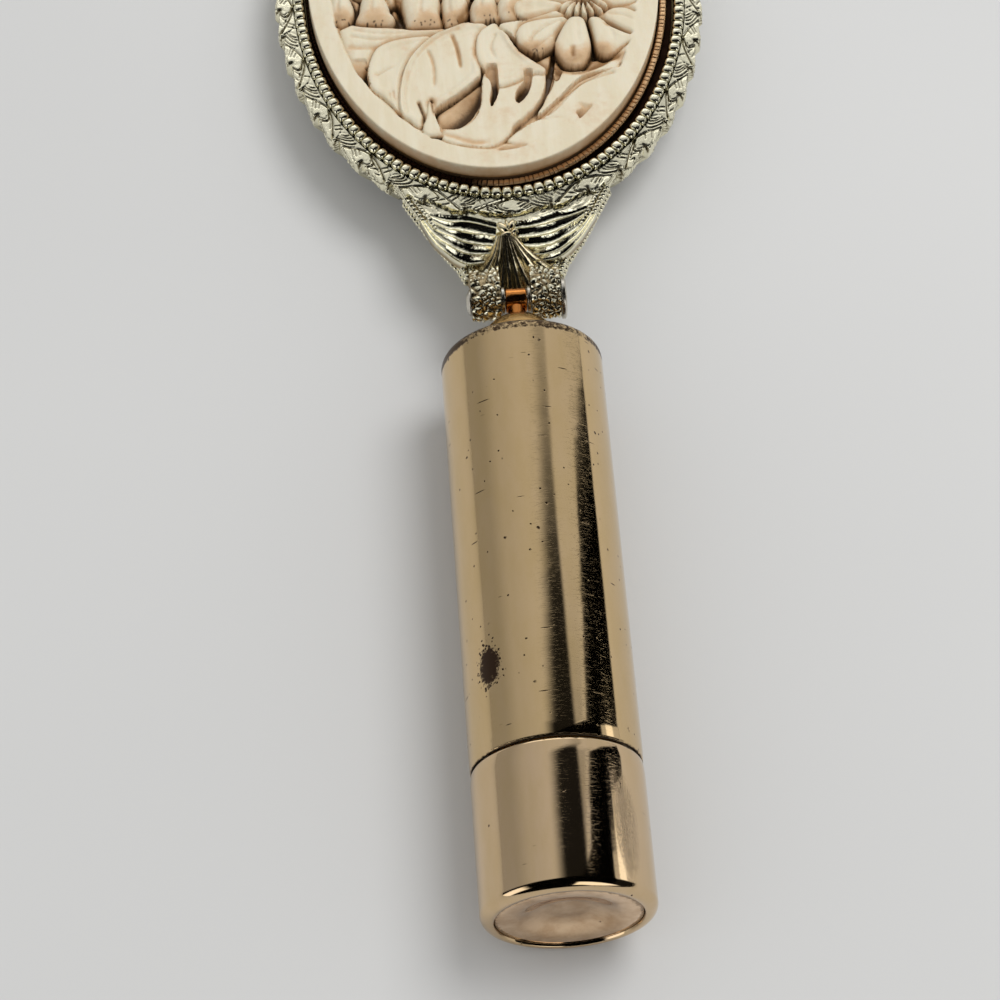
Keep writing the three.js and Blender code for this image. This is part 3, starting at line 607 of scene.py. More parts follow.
def plate_material(
    name, tint, roughness, pits, scratches, browned, spot=None, scuff=None, shades=(0.95, 0.94, 0.86)
):
    """Polished plate with pits, scratches, browned edges and, where asked, an eaten spot or a scuff."""
    tree, shader, place = start_material(name, 1.0, roughness)
    marks = use_group(tree, "plate_marks", Place=place, Pits=pits, Scratches=scratches)
    dirt = larger(tree, marks.outputs["Pits"], times(tree, marks.outputs["Scratches"], 0.9))
    if spot:
        centre, radius = spot
        away = distance_from(tree, place, centre, "MULTIPLY", (1.15, 0.72, 1.15))
        ragged = plus(tree, noise(tree, place, 2.4, 5.0, 0.75), 2.6, away)
        core = eased(tree, ragged, radius + 1.6, radius + 1.15)
        to_dot, drawn = scattered(tree, place, 2.6)
        chance = eased(tree, away, radius + 1.25, radius + 0.1)
        dots = times(tree, eased(tree, to_dot, 0.42, 0.3), maths(tree, "LESS_THAN", drawn, chance))
        dirt = larger(tree, dirt, larger(tree, core, dots))
    edge = attribute(tree, "edge")
    ragged = plus(tree, minus(tree, noise(tree, place, 1.9, 6.0, 0.75), 0.5), 2.0, edge)
    wide = plus(tree, minus(tree, noise(tree, place, 0.12, 1.0), 0.5), 1.4, ragged)
    worn = times(tree, eased(tree, wide, 0.6, 0.95), browned)
    dirt = larger(tree, dirt, times(tree, worn, eased(tree, edge, 0.02, 0.12)))
    tone = eased(tree, marks.outputs["Haze"], 0.3, 0.75)
    warm = mixed(tree, tone, rgba(tint), rgba([part * shade for part, shade in zip(tint, shades)]))
    base = mixed(tree, dirt, warm, (0.05, 0.028, 0.016, 1.0))
    tree.links.new(base, shader.inputs["Base Color"])
    rough = plus(tree, marks.outputs["Haze"], 0.07, roughness - 0.02)
    rough = plus(tree, dirt, 0.3, rough)
    hollow = times(tree, dirt, -1.0)
    if scuff:
        centre, radii = scuff
        away = distance_from(tree, place, centre, "DIVIDE", radii)
        torn = noise(tree, stretched(tree, place, (1.0, 0.45, 1.0), (0.2, 0.0, 0.5)), 8.0, 6.0, 0.8)
        scratchy = times(tree, eased(tree, away, 1.05, 0.4), eased(tree, torn, 0.48, 0.56))
        rough = plus(tree, scratchy, 0.22, rough)
        hollow = plus(tree, scratchy, 0.9, hollow)
    tree.links.new(rough, shader.inputs["Roughness"])
    hollow = plus(tree, marks.outputs["Hairs"], -0.045, hollow)
    wavy = plus(tree, noise(tree, place, 0.22, 2.0), 0.8, hollow)
    bump(tree, shader, wavy, 0.5, 0.03)


def cast_material(name, tint, roughness, dirt, amount, fineness=3.0, bump_mm=0.03):
    """Cast or pressed metal with dirt and painted shade in its hollows."""
    tree, shader, place = start_material(name, 1.0, roughness)
    grain = use_group(tree, "fine_grain", Place=place, Fineness=fineness)
    hollows = use_group(
        tree, "dark_hollows", Place=place, Clean=rgba(tint), Dirt=rgba(dirt), Depth=attribute(tree, "hollow"),
        Amount=amount
    )
    tree.links.new(hollows.outputs["Color"], shader.inputs["Base Color"])
    rough = plus(tree, grain.outputs["Tone"], 0.12, roughness - 0.04)
    tree.links.new(plus(tree, hollows.outputs["Mask"], 0.2, rough), shader.inputs["Roughness"])
    bump(tree, shader, grain.outputs["Height"], 0.6, bump_mm)


def ivory_material():
    """Pale carved resin with a faint grain, a warm stain in its hollows that is partly painted shade, and
    near-black painted shade in its lowest places and creases.
    """
    tint, stain = colours().ivory, colours().stain
    tree, shader, place = start_material("ivory_resin", 0.0, 0.42)
    shader.inputs["Subsurface Weight"].default_value = 0.12
    shader.inputs["Subsurface Radius"].default_value = (1.0, 0.6, 0.35)
    shader.inputs["Subsurface Scale"].default_value = 0.6 * MM
    grain = noise(tree, stretched(tree, place, (1.0, 0.16, 1.0), (0.0, 0.0, 0.25)), 0.8, 5.0, 0.6)
    paler = [min(1.0, part * shade) for part, shade in zip(tint, (1.06, 1.09, 1.16))]
    body = mixed(tree, eased(tree, grain, 0.32, 0.68), rgba(tint), rgba(paler))
    broad = minus(tree, noise(tree, place, 0.16, 3.0, 0.6), 0.47)
    fine = minus(tree, noise(tree, place, 0.9, 4.0, 0.65), 0.5)
    warm = plus(tree, fine, 0.55, plus(tree, broad, 0.9, attribute(tree, "warm")))
    lightly = mixed(tree, eased(tree, warm, 0.0, 0.5), body,
                    rgba([part * k for part, k in zip(stain, (1.5, 1.95, 2.9))]))
    toned = mixed(tree, eased(tree, warm, 0.4, 1.1), lightly, rgba([part * 0.75 for part in stain]))
    # the mesh's hollow value mixes in near-black: dark specks and lines, and painted shade in the lowest hollows
    dirt_and_deep_shade = use_group(
        tree,
        "dark_hollows",
        Place=place,
        Clean=toned,
        Dirt=rgba([part * 0.12 for part in stain]),
        Depth=attribute(tree, "hollow"),
        Amount=0.92,
    )
    tree.links.new(dirt_and_deep_shade.outputs["Color"], shader.inputs["Base Color"])
    fine = use_group(tree, "fine_grain", Place=place, Fineness=2.2)
    tree.links.new(plus(tree, fine.outputs["Tone"], 0.12, 0.36), shader.inputs["Roughness"])
    bump(tree, shader, fine.outputs["Height"], 0.35, 0.05)


def plain_material(name, tint, metallic, roughness, fineness, shades=(0.82, 0.8, 0.76), bump_mm=0.02,
                   **constants):
    """Brass, steel, plastic, card and wax, each with its own grain and uneven tone."""
    tree, shader, place = start_material(name, metallic, roughness, **constants)
    grain = use_group(tree, "fine_grain", Place=place, Fineness=fineness)
    darker = [part * shade for part, shade in zip(tint, shades)]
    tree.links.new(mixed(tree, grain.outputs["Tone"], rgba(tint), rgba(darker)), shader.inputs["Base Color"])
    rough = plus(tree, grain.outputs["Height"], 0.12, roughness - 0.08)
    tree.links.new(rough, shader.inputs["Roughness"])
    bump(tree, shader, grain.outputs["Height"], 0.5, bump_mm)


def finish(name):
    return bpy.data.materials["mirror_" + name]


class MIRROR_OT_finishes(bpy.types.Operator):
    """Makes the shared groups and every material but the floor's"""

    bl_idname = "mirror.finishes"
    bl_label = "Make the finishes"

    def execute(self, context):
        make_marks_group()
        make_grain_group()
        make_recess_group()
        tints = colours()
        spot_place = Vector((-6.3, PARTING + 9.4, TUBE_Z + 6.4))
        plate_material("champagne_cap", tints.champagne, 0.055, 0.85, 0.013, browned=0.95,
                       spot=(spot_place, 1.45))
        pinker = [part * shade for part, shade in zip(tints.champagne, (1.03, 1.04, 1.16))]
        scuffed = (Vector((6.1, PARTING - 9.5, TUBE_Z + 5.9)), Vector((1.6, 6.2, 2.4)))
        plate_material("champagne_base", pinker, 0.05, 0.2, 0.008, browned=0.9, scuff=scuffed)
        plate_material("rose_disc", tints.rose, 0.09, 0.1, 0.01, browned=0.6, shades=(0.68, 0.6, 0.5))
        # its dark hollow colour is partly painted shade: the frame's back and recess, and the plate seen through
        # gaps
        cast_material("pale_gold_cast", tints.pale_gold, 0.2, (0.125, 0.095, 0.04), 0.95, 2.0, 0.05)
        cast_material("pale_gold_beads", tints.pale_gold, 0.16, (0.08, 0.065, 0.035), 0.9, 1.6, 0.06)
        # its brownish hollow colour also paints the shade in the flutes
        cast_material("pale_gold_neck", tints.pale_gold, 0.075, (0.22, 0.13, 0.03), 0.8, 0.9, 0.2)
        # a browner copy of the pale gold: painted reflection, standing for the coloured reflections in the fan's
        # facets
        cast_material("fan_gold_painted_reflection", (0.9, 0.79, 0.53), 0.14, (0.17, 0.085, 0.025), 0.8, 0.9, 0.14)
        # its near-black hollow colour also paints the collar's shade: hidden walls, narrow gaps and the shadowed
        # left side
        cast_material("copper_collar", tints.copper, 0.4, (0.028, 0.012, 0.006), 1.0)
        # a much darker copy of the copper: painted dark reflection on the knuckle
        cast_material("knuckle_copper_painted_reflection", (0.62, 0.24, 0.06), 0.1, (0.03, 0.012, 0.006), 0.5)
        plain_material("brass_spun", tints.brass, 1.0, 0.2, 2.0)
        plain_material("rivet_steel", tints.steel, 1.0, 0.24, 2.6)
        ivory_material()
        plain_material("backing_card", tints.card, 0.0, 0.9, 5.0, bump_mm=0.06)
        plain_material("mirror_silver", (0.9, 0.92, 0.91), 1.0, 0.09, 0.4, (0.97, 0.97, 0.96), 0.001,
                       Coat_Weight=1.0)
        plain_material("cream_plastic", tints.cream, 0.0, 0.45, 2.0, (0.94, 0.93, 0.9))
        plain_material("lipstick_wax", tints.lipstick, 0.0, 0.42, 1.2, (0.9, 0.8, 0.8), 0.05)
        return {"FINISHED"}


# ---------------------------------------------------------------- handle and case
def near(value, places, reach):
    """How close each height is to one of the given heights, from 0 to 1."""
    value = np.asarray(value)
    return np.max([np.clip(1 - np.abs(value - place) / reach, 0, 1) for place in places], axis=0)


class MIRROR_OT_cap(bpy.types.Operator):
    """Cap: the long polished shell with its liner and back washer"""

    bl_idname = "mirror.cap"
    bl_label = "Cap"

    def execute(self, context):
        mouth, top, radius = along_tube("cap_shell")
        liner_low, liner_high, liner = along_tube("cap_liner")
        inner, ceiling = radius - SHELL_WALL, top - SHELL_WALL
        roll = [(radius - 0.085 * (1 - t) ** 2, mouth + 0.12 + 1.5 * t) for t in np.linspace(0, 1, 15)]
        shoulder = 0.85
        arc = [
            (radius - shoulder * (1 - math.cos(a)), top - shoulder * (1 - math.sin(a)))
            for a in np.linspace(0, math.pi / 2, 12)
        ]
        section = [(inner, mouth + 0.1), (inner + 0.1, mouth), (radius - 0.16, mouth), *roll]
        section += [(radius, y) for y in np.linspace(mouth + 5, top - 2.1, 8)]
        section += [(radius, top - below) for below in (1.8, 1.5, 1.2)]
        section += arc
        section += [(SHANK_BORE + 0.06, top), (SHANK_BORE, top - 0.06), (SHANK_BORE, ceiling),
                    (inner, ceiling)]
        heights = [y for _, y in section]
        worn = np.clip((np.array(heights) - top + 1.8) / 0.6, 0, 1)
        sides = 224
        sideways = 0.85 + 0.35 * np.sin(np.arange(sides) * 2 * math.pi / sides) ** 2
        edge = np.maximum(np.outer(sideways, worn), near(heights, (mouth,), 0.34)[None, :])
        shape = lathe(section, sides=sides)
        shape.values["edge"] = [edge.ravel()]
        shape.piece("cap_shell_plate", CASE, "handle", "champagne_plate", "champagne_cap", ["cap_shell"],
                    sharp=50, weld=True)
        lining = box_ring(liner - 0.45, liner, liner_low, liner_high)
        lathe(lining).piece("cap_liner_sleeve", CASE, "handle", "cream_plastic", "cream_plastic",
                            ["cap_liner"])
        low, high, outer = along_tube("back_washer")
        ring = box_ring(SHANK_BORE, outer, low, high, 0.08)
        lathe(ring, sides=96).piece(
            "back_washer_ring", CASE, "handle", "steel_rivet", "rivet_steel", ["back_washer"]
        )
        return {"FINISHED"}


class MIRROR_OT_hinge(bpy.types.Operator):
    """Hinge: dome, knuckle, riveted pin and washers"""

    bl_idname = "mirror.hinge"
    bl_label = "Hinge"

    def execute(self, context):
        low, high, radius = along_tube("dome_ferrule")
        rise, inside = high - low, radius - SHELL_WALL
        outer_end, inner_end = math.acos(SHANK_BORE / radius), math.acos(SHANK_BORE / inside)
        outer, inner = [], []
        for share in np.linspace(0, 1, 26):
            a, b = outer_end * share, inner_end * share
            outer.append((radius * math.cos(a), low + rise / math.sin(outer_end) * math.sin(a)))
            inner.append((inside * math.cos(b), low + (rise - SHELL_WALL) * math.sin(b)))
        bead = [(radius + 0.12 * math.sin(a), low + 0.18 - 0.18 * math.cos(a))
                for a in np.linspace(0, math.pi, 6)]
        lathe(bead[:-1] + outer[1:] + inner[::-1], sides=128).piece(
            "dome_of_brass", CASE, "handle", "brass_spun", "brass_spun", ["dome_ferrule"]
        )
        knuckle_low, _, _ = along_tube("knuckle")
        pin_y = PIN[1] - PARTING
        knuckle, half = 1.4, 1.2
        shank, peened = 1.0, 1.8
        shoulder, shank_top = knuckle_low + 0.6, pin_y - 1.12
        section = filleted(
            [(0, knuckle_low), (peened, knuckle_low, 0.25), (peened, shoulder), (shank, shoulder, 0.03),
             (shank, shank_top), (0, shank_top)], 0.06
        )
        shape = lathe(section, sides=72, closed=False)
        barrel = box_ring(PIN_HOLE, knuckle, -half, half, 0.2)
        add_turned(shape, barrel, ACROSS, (0, pin_y, 0), sides=96)
        shape.piece("knuckle_of_copper", CASE, "handle", "copper_plate", "knuckle_copper_painted_reflection", ["knuckle"],
                    sharp=40, weld=True)
        start = EAR_END + 0.1
        shaft, peened, head = 0.6, 1.5, 2.4
        pin = filleted(
            [(0, -start - 0.5), (0.9, -start - 0.48, 0.2), (peened, -start - 0.12, 0.1),
             (peened, -start, 0.02),
             (shaft, -start, 0.0), (shaft, start, 0.0), (head, start, 0.05), (head, start + 0.38, 0.18),
             (head - 0.3, start + 0.53, 0.25), (1.0, start + 0.55, 0.0), (0, start + 0.55)], 0.05
        )
        lathe(pin, sides=96, closed=False).piece(
            "hinge_pin_rivet", HINGE, "head", "steel_rivet", "rivet_steel", ["hinge_pin"], sharp=40, weld=True
        )
        for side, node in ((1, "hinge_washer_right"), (-1, "hinge_washer_left")):
            low, high = sorted((side * 1.3, side * 1.65))
            ring = box_ring(PIN_HOLE, 1.6, low, high, 0.06)
            lathe(ring, sides=72).piece(node + "_ring", HINGE, "head", "steel_rivet", "rivet_steel", [node])
        return {"FINISHED"}


class MIRROR_OT_base(bpy.types.Operator):
    """Base: the short shell, its dished disc and the plug inside"""

    bl_idname = "mirror.base"
    bl_label = "Base"

    def execute(self, context):
        end, mouth, radius = along_tube("base_shell")
        face, _, disc = along_tube("end_disc")
        inner, corner = radius - SHELL_WALL, 1.1
        roll = [(radius - 0.1 * t**2, mouth - 1.6 + 1.5 * t) for t in np.linspace(0, 1, 9)]
        arc = [
            (radius - corner * (1 - math.cos(a)), end + corner * (1 - math.sin(a)))
            for a in np.linspace(math.pi / 2, 0, 14)
        ]
        lip = disc + 0.1
        section = [(inner, mouth - 0.1), (inner, end + 1.35), (lip, end + 1.35), (lip, end + 0.08),
                   (lip + 0.08, end)]
        section += arc[1:] + [(radius, y) for y in np.linspace(end + 4, mouth - 4, 4)] + roll
        section += [(radius - 0.18, mouth), (inner + 0.1, mouth)]
        heights = [y for _, y in section]
        shape = lathe(section, sides=224, edge=0.7 * near(heights, (mouth,), 0.3))
        shape.piece("base_shell_plate", CASE, "base", "champagne_plate", "champagne_base", ["base_shell"],
                    sharp=50, weld=True)
        dish, sink, thick = disc - 1.5, 0.9, 0.5
        front = [(disc, face + 0.05), (disc - 0.06, face), (disc - 0.7, face - 0.02), (disc - 1.2, face)]
        for share in np.linspace(0, 1, 18)[1:]:
            ease = soft_step(0.0, 0.6, share)
            ripple = 0.05 * bell(share - 0.52, 0.07)
            front.append((dish * (1 - share), face + sink * ease - ripple))
        behind = face + thick
        back = [(0, behind + sink), (dish * 0.5, behind + sink), (disc - 0.9, behind), (disc, behind)]
        shape = lathe(front + back, sides=192, closed=True,
                      edge=near([r for r, _ in front + back], (disc,), 0.9))
        shape.piece("end_disc_dished", CASE, "base", "copper_plate", "rose_disc", ["end_disc"], sharp=40,
                    weld=True)
        low, high, outer = along_tube("base_plug")
        sleeve, socket, floor = 7.65, 6.25, low + 5.2
        plug = filleted(
            [(0, low), (outer - 1, low), (outer, low + 1), (outer, high - 1.05), (sleeve, high - 1.05),
             (sleeve, high),
             (socket, high), (socket, floor), (0, floor)], 0.12
        )
        lathe(plug, closed=False).piece(
            "base_plug_moulded", CASE, "base", "cream_plastic", "cream_plastic", ["base_plug"], sharp=40,
            weld=True
        )
        return {"FINISHED"}


class MIRROR_OT_mechanism(bpy.types.Operator):
    """Lipstick mechanism: sleeve, cup and lipstick, and finishes for the two slotted tubes"""

    bl_idname = "mirror.mechanism"
    bl_label = "Lipstick mechanism"

    def execute(self, context):
        low, high, outer = along_tube("case_sleeve")
        section = filleted([(outer - 0.4, low), (outer, low), (outer, high, 0.19), (outer - 0.4, high, 0.19)],
                           0.1)
        lathe(section).piece("case_sleeve_drawn", CASE, "case", "brass_spun", "brass_spun", ["case_sleeve"])
        for node, name in (("spiral_tube", "brass_spun"), ("slotted_tube", "cream_plastic")):
            frame["nodes"][node].data.materials.clear()
            frame["nodes"][node].data.materials.append(finish(name))
        low, high, _ = along_tube("carrier_cup")
        outer = 5.35
        cup = filleted(
            [(0, low), (outer, low), (outer, high), (outer - 0.4, high), (outer - 0.4, low + 0.6),
             (0, low + 0.6)], 0.12
        )
        shape = lathe(cup, sides=128, closed=False)
        for side in (1, -1):
            quarter = Matrix.Rotation(side * math.pi / 2, 3, "X")
            add_turned(shape, box_ring(0, 0.6, 5.15, 7.05), quarter, (0, low + 1.4, 0), sides=40,
                       closed=False)
        shape.piece("carrier_cup_moulded", CASE, "carrier", "cream_plastic", "cream_plastic", ["carrier_cup"],
                    sharp=40, weld=True)
        low, high, _ = along_tube("lipstick")
        outer = 4.75
        columns, tip_length, tip_round = 96, 7.0, 1.6
        angle = np.arange(columns) * 2 * math.pi / columns
        rows = [(0.0, low), (outer - 0.1, low), (outer, low + 0.1)]
        rows += [(outer, y) for y in np.linspace(low + 1, high - tip_length - 2.4, 8)]
        points = [np.stack([r * np.sin(angle), np.full(columns, y), r * np.cos(angle)], -1) for r, y in rows]
        for share in np.linspace(0, 1, 26):
            r = outer * math.cos(share * math.pi / 2) ** 0.45
            x, z = r * np.sin(angle), r * np.cos(angle)
            slant = high - tip_length * (z / outer + 1) / 2
            start = high - tip_length - 1.8
            y = start + (slant - start) * (1 - (1 - share) ** 2)
            points.append(np.stack([x, np.minimum(y, high - 0.02 * tip_round), z], -1))
        shape = Shape()
        shape.add(np.stack(points), grid(len(points), columns, close_columns=True))
        shape.piece("lipstick_bullet", CASE, "carrier", "lipstick_wax", "lipstick_wax", ["lipstick"],
                    sharp=50, weld=True)
        return {"FINISHED"}


# ---------------------------------------------------------------- carving
class Relief:
    """Heights over a plain face, as a grid that leaves and holes are cut into."""

    def __init__(self, low, high, cell):
        self.cell = cell
        self.xs = np.arange(low[0], high[0], cell)
        self.ys = np.arange(low[1], high[1], cell)
        self.x, self.y = np.meshgrid(self.xs, self.ys)
        self.height = np.zeros_like(self.x)
        self.warm = np.zeros_like(self.x)
        # dirt and painted shade: dark specks and lines, and painted shade that darkens pockets towards their
        # deepest end
        self.dirt_and_shade = np.zeros_like(self.x)

    def window(self, line, margin):
        """The part of the grid that lies near a line."""
        low, high = line.min(0) - margin, line.max(0) + margin
        x0, x1 = np.searchsorted(self.xs, [low[0], high[0]])
        y0, y1 = np.searchsorted(self.ys, [low[1], high[1]])
        return np.s_[y0:y1, x0:x1]

    def measure(self, line, part, closed):
        """Distance to a line, and for a closed one whether each place is inside it."""
        x, y = self.x[part], self.y[part]
        best = np.full(x.shape, 1e9)
        inside = np.zeros(x.shape, bool)
        ends = np.roll(line, -1, 0) if closed else line[1:]
        for (ax, ay), (bx, by) in zip(line, ends):
            dx, dy = bx - ax, by - ay
            size = dx * dx + dy * dy
            if size < 1e-12:
                continue
            t = np.clip(((x - ax) * dx + (y - ay) * dy) / size, 0, 1)
            best = np.minimum(best, (x - ax - t * dx) ** 2 + (y - ay - t * dy) ** 2)
            if closed and ay != by:
                inside ^= ((ay > y) != (by > y)) & (x < ax + (y - ay) * dx / dy)
        return np.sqrt(best), inside

    def leaf(self, outline, level, crown=0.5, edge=1.2, tilt=(0.0, 0.0), under=0.35, cup=0.0, reach=0.38):
        """A leaf or petal with rounded edges. It covers what lies under it and undercuts it a little."""
        line = bent(outline, 5, True)
        part = self.window(line, 1.5)
        away, inside = self.measure(line, part, True)
        x, y = self.x[part], self.y[part]
        mx, my = line.mean(0)
        top = level + tilt[0] * (x - mx) + tilt[1] * (y - my)
        share = np.clip(away / edge, 0, 1)
        top = top + crown * (np.sqrt(1 - (1 - share) ** 2) - 1) - cup * soft_step(edge, edge * 2.2, away)
        self.height[part] = np.where(inside, top, self.height[part] - under * bell(away, reach))
        # a warm halo just outside the edge is painted shade, cast by the leaf on what lies under it
        warm = self.warm[part]
        self.warm[part] = np.where(inside, warm * 0.1, warm + 0.45 * bell(away, 0.45))
        self.dirt_and_shade[part] = np.where(inside, 0, self.dirt_and_shade[part])

    def groove(self, line, depth, width, warm, taper=True, dirt_and_shade=0.0):
        """A line pressed in, or raised where its depth is below zero. It may fade out at its end."""
        line = bent(line, 6)
        part = self.window(line, 1.2)
        away, _ = self.measure(line, part, False)
        fade = 1.0
        if taper:
            x, y = self.x[part], self.y[part]
            end = np.hypot(x - line[-1, 0], y - line[-1, 1])
            fade = soft_step(0.0, 1.4, end)
        cut = bell(away, width) * fade
        self.height[part] -= depth * cut
        self.warm[part] += warm * cut
        self.dirt_and_shade[part] = np.maximum(self.dirt_and_shade[part], dirt_and_shade * cut)

    def hole(self, outline, depth, dirt_and_shade=0.9, lean=(0.2, -1.0), start=0.15, wall=0.2):
        """A pocket with a crisp wall whose floor, stain and painted shade deepen along the way that it leans."""
        line = bent(outline, 4, True)
        part = self.window(line, 1.0)
        away, inside = self.measure(line, part, True)
        reach = line @ lean
        way = self.x[part] * lean[0] + self.y[part] * lean[1]
        share = np.clip((way - reach.min()) / (reach.max() - reach.min()), 0, 1)
        floor = -depth * (start + (1 - start) * share)
        near_wall = soft_step(0.0, wall, away)
        here = self.height[part]
        self.height[part] = np.where(inside, here * (1 - near_wall) + np.minimum(floor, here) * near_wall,
                                     here)
        self.warm[part] = np.where(inside, 0.2 + 0.9 * share, self.warm[part] + 0.2 * bell(away, 0.3))
        self.dirt_and_shade[part] = np.where(inside, near_wall * dirt_and_shade * soft_step(0.3, 0.95, share), self.dirt_and_shade[part])

    def specks(self, x, y, count, spread, chance):
        """Small dark specks of dirt."""
        for px, py in np.array([x, y]) + (chance.random((count, 2)) - 0.5) * spread:
            self.dirt_and_shade = np.maximum(self.dirt_and_shade, np.exp(-((self.x - px) ** 2 + (self.y - py) ** 2) / 0.022))

    def stain(self, x, y, radius_x, radius_y, amount):
        """A soft patch of old stain."""
        apart = ((self.x - x) / radius_x) ** 2 + ((self.y - y) / radius_y) ** 2
        self.warm += amount * np.exp(-apart)

    def sample(self, grid_values, x, y):
        """Reads a grid at points, between its cells."""
        fx = np.clip((x - self.xs[0]) / self.cell, 0, len(self.xs) - 1.001)
        fy = np.clip((y - self.ys[0]) / self.cell, 0, len(self.ys) - 1.001)
        ix, iy = fx.astype(int), fy.astype(int)
        tx, ty = fx - ix, fy - iy
        return (
            grid_values[iy, ix] * (1 - tx) * (1 - ty)
            + grid_values[iy, ix + 1] * tx * (1 - ty)
            + grid_values[iy + 1, ix] * (1 - tx) * ty
            + grid_values[iy + 1, ix + 1] * tx * ty
        )


def blurred(values, reach):
    """A soft blur by repeated box means over a few cells."""
    size = max(1, int(reach))
    for _ in range(2):
        for axis in (0, 1):
            before = np.repeat(values.take([0], axis), size + 1, axis)
            after = np.repeat(values.take([-1], axis), size, axis)
            padded = np.concatenate([before, values, after], axis)
            total = np.cumsum(padded, axis)
            span = 2 * size + 1
            high = total.take(range(span, total.shape[axis]), axis)
            low = total.take(range(0, total.shape[axis] - span), axis)
            values = (high - low) / span
    return values


# ---------------------------------------------------------------- cast head
RIM_START, RIM_WIDTH, LEAF_STEP = 0.8, 1.75, 0.5
SPRAY = 9.4  # length round the rim that the spray of leaves below was drawn to
# one spray, as [towards the neck, outwards from the bead line]
SPRAY_LEAVES = (
    ([(0.1, 2.5), (1.5, 2.75), (3.0, 2.1), (3.4, 1.6), (2.8, 1.0), (1.4, 0.9), (0.6, 1.5)], 0.02,
     (-0.05, 0.04)),
    ([(5.8, 0.85), (7.1, 1.1), (8.6, 1.8), (10.0, 2.6), (9.6, 1.4), (8.2, 0.8)], 0.0, (0.04, -0.06)),
    ([(3.2, 2.1), (4.3, 2.6), (5.4, 2.85), (6.6, 2.4), (7.1, 1.85), (6.7, 1.4), (5.6, 0.9), (4.4, 1.25),
      (3.3, 1.7)],
     0.1, (0.03, 0.06)),
)
SPRAY_LINES = (
    (0.13, [(0.0, 2.47), (1.2, 2.06), (2.1, 1.54), (2.45, 1.05)]),
    (0.13, [(0.35, 2.1), (1.3, 1.7), (1.9, 1.25), (2.0, 0.95)]),
    (0.12, [(0.75, 1.75), (1.3, 1.35), (1.5, 0.95)]),
    (0.13, [(0.75, 2.68), (2.1, 2.1), (2.9, 1.5), (3.1, 1.0)]),
    (0.16, [(1.7, 2.8), (3.3, 1.75), (4.4, 1.18), (5.4, 0.85)]),
    (0.12, [(3.3, 1.95), (4.2, 2.42)]),
    (0.12, [(3.6, 1.7), (4.6, 2.26)]),
    (0.11, [(4.2, 1.45), (4.8, 1.85)]),
    (0.15, [(5.4, 2.85), (6.6, 2.37), (7.1, 1.85), (6.7, 1.44), (5.65, 0.95)]),
    (0.10, [(5.9, 2.45), (6.55, 2.15), (6.75, 1.8), (6.4, 1.55)]),
    (0.17, [(5.65, 0.85), (7.1, 1.23), (8.6, 1.95), (10.2, 2.85)]),
    (0.11, [(6.3, 1.25), (7.2, 1.55), (8.4, 2.15)]),
    (0.11, [(7.1, 2.3), (8.0, 1.8)]),
    (0.11, [(7.8, 2.7), (8.7, 2.3)]),
    (0.11, [(8.3, 1.55), (8.8, 0.95)]),
    (0.11, [(8.9, 1.8), (9.4, 0.95)]),
)


def rim_relief(around, sprays, chance):
    """The rim's engraved sprays of leaves, over [way round from the neck, outwards]."""
    relief = Relief((-around / 2 - 1, RIM_START - 0.1), (around / 2 + 1, 3.4), 0.075)
    pitch = around / sprays
    squeeze = pitch / SPRAY
    for side in (-1, 1):
        for number in range(-1, sprays // 2 + 1):
            start = (number + 1.62) * pitch
            bend = 0.12 * (chance.random(3) - 0.5)

            def lay(points, wander=0.05):
                """The spray's points, bent a little and laid round the rim."""
                moved = []
                for toward, out in points:
                    out = min(out, 3.0) + bend[0] * (toward - 4) * 0.3 + wander * (chance.random() - 0.5)
                    along = start - toward * squeeze * (1 + bend[1] * 0.3) + wander * (chance.random() - 0.5)
                    moved.append((side * along, out))
                return moved

            for outline, level, tilt in SPRAY_LEAVES:
                lean = (-side * tilt[0] * (0.2 + 0.5 * chance.random()),
                        tilt[1] * (0.2 + 0.5 * chance.random()))
                relief.leaf(lay(outline), 0.4 * level, 0.05, 0.2, lean, 0.08, reach=0.14)
            for width, line in SPRAY_LINES:
                if chance.random() < 0.93:
                    relief.groove(lay(line, 0.1), 0.13, width * 0.55, 0.0, False, dirt_and_shade=0.9)
    return relief


